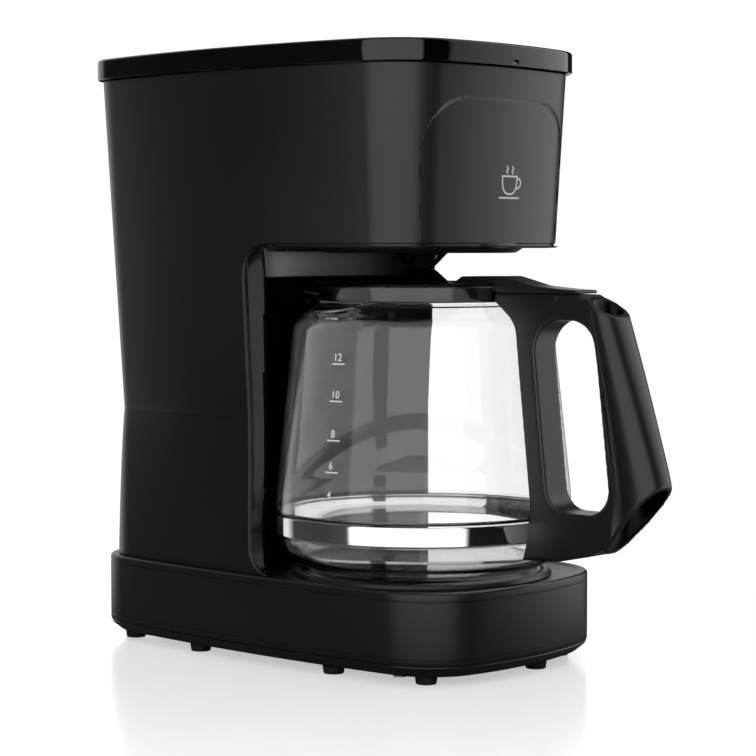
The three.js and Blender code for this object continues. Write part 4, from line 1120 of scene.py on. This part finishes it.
def make_badge():
    """A small plain cup sign, as a generic mark."""
    lines = [
        [(-6.4, 4.0), (-6.1, 0.5), (-5.4, -2.4), (-3.8, -4.4), (-1.4, -5.2), (1.4, -5.2), (3.8, -4.4),
         (5.4, -2.4), (6.1, 0.5), (6.4, 4.0)],
        [(-6.4, 4.0), (-2, 4.0), (2, 4.0), (6.4, 4.0)],
        [(6.3, 2.6), (8.2, 2.9), (9.6, 1.6), (9.4, -0.6), (7.8, -2.0), (5.6, -2.2)],
        [(-8.2, -7.2), (-3, -7.2), (3, -7.2), (8.2, -7.2)],
        [(-2.2, 5.6), (-3.0, 6.6), (-1.8, 7.8), (-2.6, 9.0)],
        [(2.4, 5.6), (1.6, 6.6), (2.8, 7.8), (2.0, 9.0)],
    ]
    meshes = []
    for line in lines:
        t = np.linspace(0, 1, len(line))
        fine = np.linspace(0, 1, 6 * len(line))
        ring = stroke(np.column_stack([np.interp(fine, t, c) for c in zip(*line)]), 0.95)
        meshes.append((ring, [list(range(len(ring)))]))
    points, faces = merged(*meshes)
    placed = []
    for u, v in points:
        x, z = BADGE_X + u, BADGE_Z + v
        plan = body_plan(z)
        y = plan["front"] + plan["rf"] - math.sqrt(plan["rf"] ** 2 - x * x) + ARCH["depth"] - 0.06
        placed.append((x, y, z))
    obj = applied(printed(raw("front_mark", placed, faces), 1, 0.1), ("TRIANGULATE", dict()))
    finish_piece(obj, "machine", "white_plastic", MARK, (), 35)


make_plate()
make_nozzle()
make_basket()
make_shower()
make_spring()
make_glass()
make_band()
make_handle()
make_carafe_lid()
make_marks()
make_badge()

# ------------------------------------------------------------ studio and camera
BACKDROP = {"Color": (1, 1, 1, 1), "Strength": 1.05}
# Levels of the light around the object by angle in degrees: 0 is the front, 90 the right side.
LIGHT_LEVELS = [
    (-180, 0.9), (-172, 0.6), (-163, 0.06), (-125, 0.05), (-107, 0.08), (-104, 1.5), (-17, 1.5),
    (-13, 0.01), (26, 0.01), (30, 0.7), (50, 1.1), (84, 1.8), (88, 0.03), (118, 0.03), (126, 0.9),
    (180, 0.9),
]
CAMERA_PLACE = (-934.0, -807.5, 222.0)
CAMERA_HEADING = (0.7494, 0.6621)
CAMERA_PITCH = math.radians(3.31)


def eased(tree, value, low, high):
    """Goes smoothly from 0 to 1 as the value goes from low to high."""
    inputs = {"Value": value, "From Min": low, "From Max": high}
    return node(tree, "MapRange", inputs, interpolation_type="SMOOTHSTEP")


def seen_directly(tree, others, direct):
    """Mixes a shader for light and reflections with one for rays from the camera or through glass."""
    path = node(tree, "LightPath").outputs
    seen = node(tree, "Math", {0: path["Is Camera Ray"], 1: path["Is Transmission Ray"]}, operation="MAXIMUM")
    return node(tree, "MixShader", {0: seen.outputs[0], 1: others.outputs[0], 2: direct.outputs[0]})


def make_floor():
    """A pale floor that runs into a white backdrop."""
    mesh = bpy.data.meshes.new("floor")
    mesh.from_pydata([(-12, -12, 0), (12, -12, 0), (12, 12, 0), (-12, 12, 0)], [], [(0, 1, 2, 3)])
    m, tree = new_material("pale_floor")
    place = node(tree, "TexCoord").outputs["Object"]
    far = node(tree, "VectorMath", {0: place}, operation="LENGTH").outputs["Value"]
    fade = eased(tree, far, 0.16, 0.5)
    glossy = node(tree, "BsdfPrincipled", {
        "Base Color": (0.85, 0.85, 0.85, 1), "Roughness": 0.2,
        "Emission Color": (1, 1, 1, 1), "Emission Strength": 0.5,
    })
    pairs = []
    for near, away in (
        (node(tree, "BsdfDiffuse", {"Color": (0.2, 0.2, 0.2, 1)}), node(tree, "BsdfTransparent")),
        (glossy, node(tree, "Emission", BACKDROP)),
    ):
        pairs.append(node(tree, "MixShader", {0: fade.outputs[0], 1: near.outputs[0], 2: away.outputs[0]}))
    mesh.materials.append(surfaced(m, seen_directly(tree, *pairs)))
    new_object("floor", mesh)


def make_world():
    """White for the camera and through glass; for light and reflections, two wide softboxes with a dark gap
    between them at the front, and a dim room behind."""
    world = bpy.data.worlds.new("studio")
    bpy.context.scene.world = world
    world.use_nodes = True
    tree = world.node_tree
    tree.nodes.clear()
    way = node(tree, "SeparateXYZ", {0: node(tree, "TexCoord").outputs["Generated"]}).outputs
    front = node(tree, "Math", {0: way["Y"], 1: -1}, operation="MULTIPLY").outputs[0]
    around = node(tree, "Math", {0: way["X"], 1: front}, operation="ARCTAN2").outputs[0]
    turn = node(tree, "MapRange", {"Value": around, "From Min": -math.pi, "From Max": math.pi})
    boxes = node(tree, "ValToRGB", {0: turn.outputs[0]})
    ramp = boxes.color_ramp
    ends = [ramp.elements[0], ramp.elements[1]]
    for angle, level in LIGHT_LEVELS:
        element = ramp.elements.new((angle + 180) / 360) if -180 < angle < 180 else ends[angle > 0]
        element.color = (level, level, level, 1)
    high = eased(tree, way["Z"], 0.5, 0.95)
    levels = {0: high.outputs[0], 6: boxes.outputs[0], 7: (0.5, 0.5, 0.5, 1)}
    room = node(tree, "Background", {"Color": node(tree, "Mix", levels, data_type="RGBA").outputs[2]})
    both = seen_directly(tree, room, node(tree, "Background", BACKDROP))
    node(tree, "OutputWorld", {0: both.outputs[0]})


def make_camera():
    data = bpy.data.cameras.new("camera")
    data.lens = 108.9
    data.sensor_width = 36
    camera = new_object("camera", data)
    camera.location = row([CAMERA_PLACE])[0]
    x, y = CAMERA_HEADING
    aim = Vector((x * math.cos(CAMERA_PITCH), y * math.cos(CAMERA_PITCH), -math.sin(CAMERA_PITCH)))
    camera.rotation_euler = aim.to_track_quat("-Z", "Y").to_euler()
    bpy.context.scene.camera = camera


def dress_nodes():
    """Gives every CAD node the material of its slot."""
    slots = {s["node"]: s["material_slot"] for s in frame["record"]["subparts"]}
    looks = {
        "satin_black_plastic": BODY, "handle_black_plastic": HANDLE, "gloss_black_plastic": GLOSS,
        "inner_black_plastic": INNER, "black_rubber": RUBBER, "clear_glass": GLASS, "polished_steel": CHROME,
        "zinc_steel": STEEL, "black_enamel": ENAMEL, "aluminium": ALUMINIUM, "silicone": SILICONE,
        "white_plastic": WHITE, "cream_ceramic": CERAMIC, "red_wire": RED,
    }
    for name, obj in frame["nodes"].items():
        obj.data.materials.clear()
        obj.data.materials.append(looks[slots[name]])


dress_nodes()
make_floor()
make_world()
make_camera()
scene = bpy.context.scene
scene.view_settings.view_transform = "Standard"
scene.view_settings.look = "None"
scene.cycles.use_denoising = True
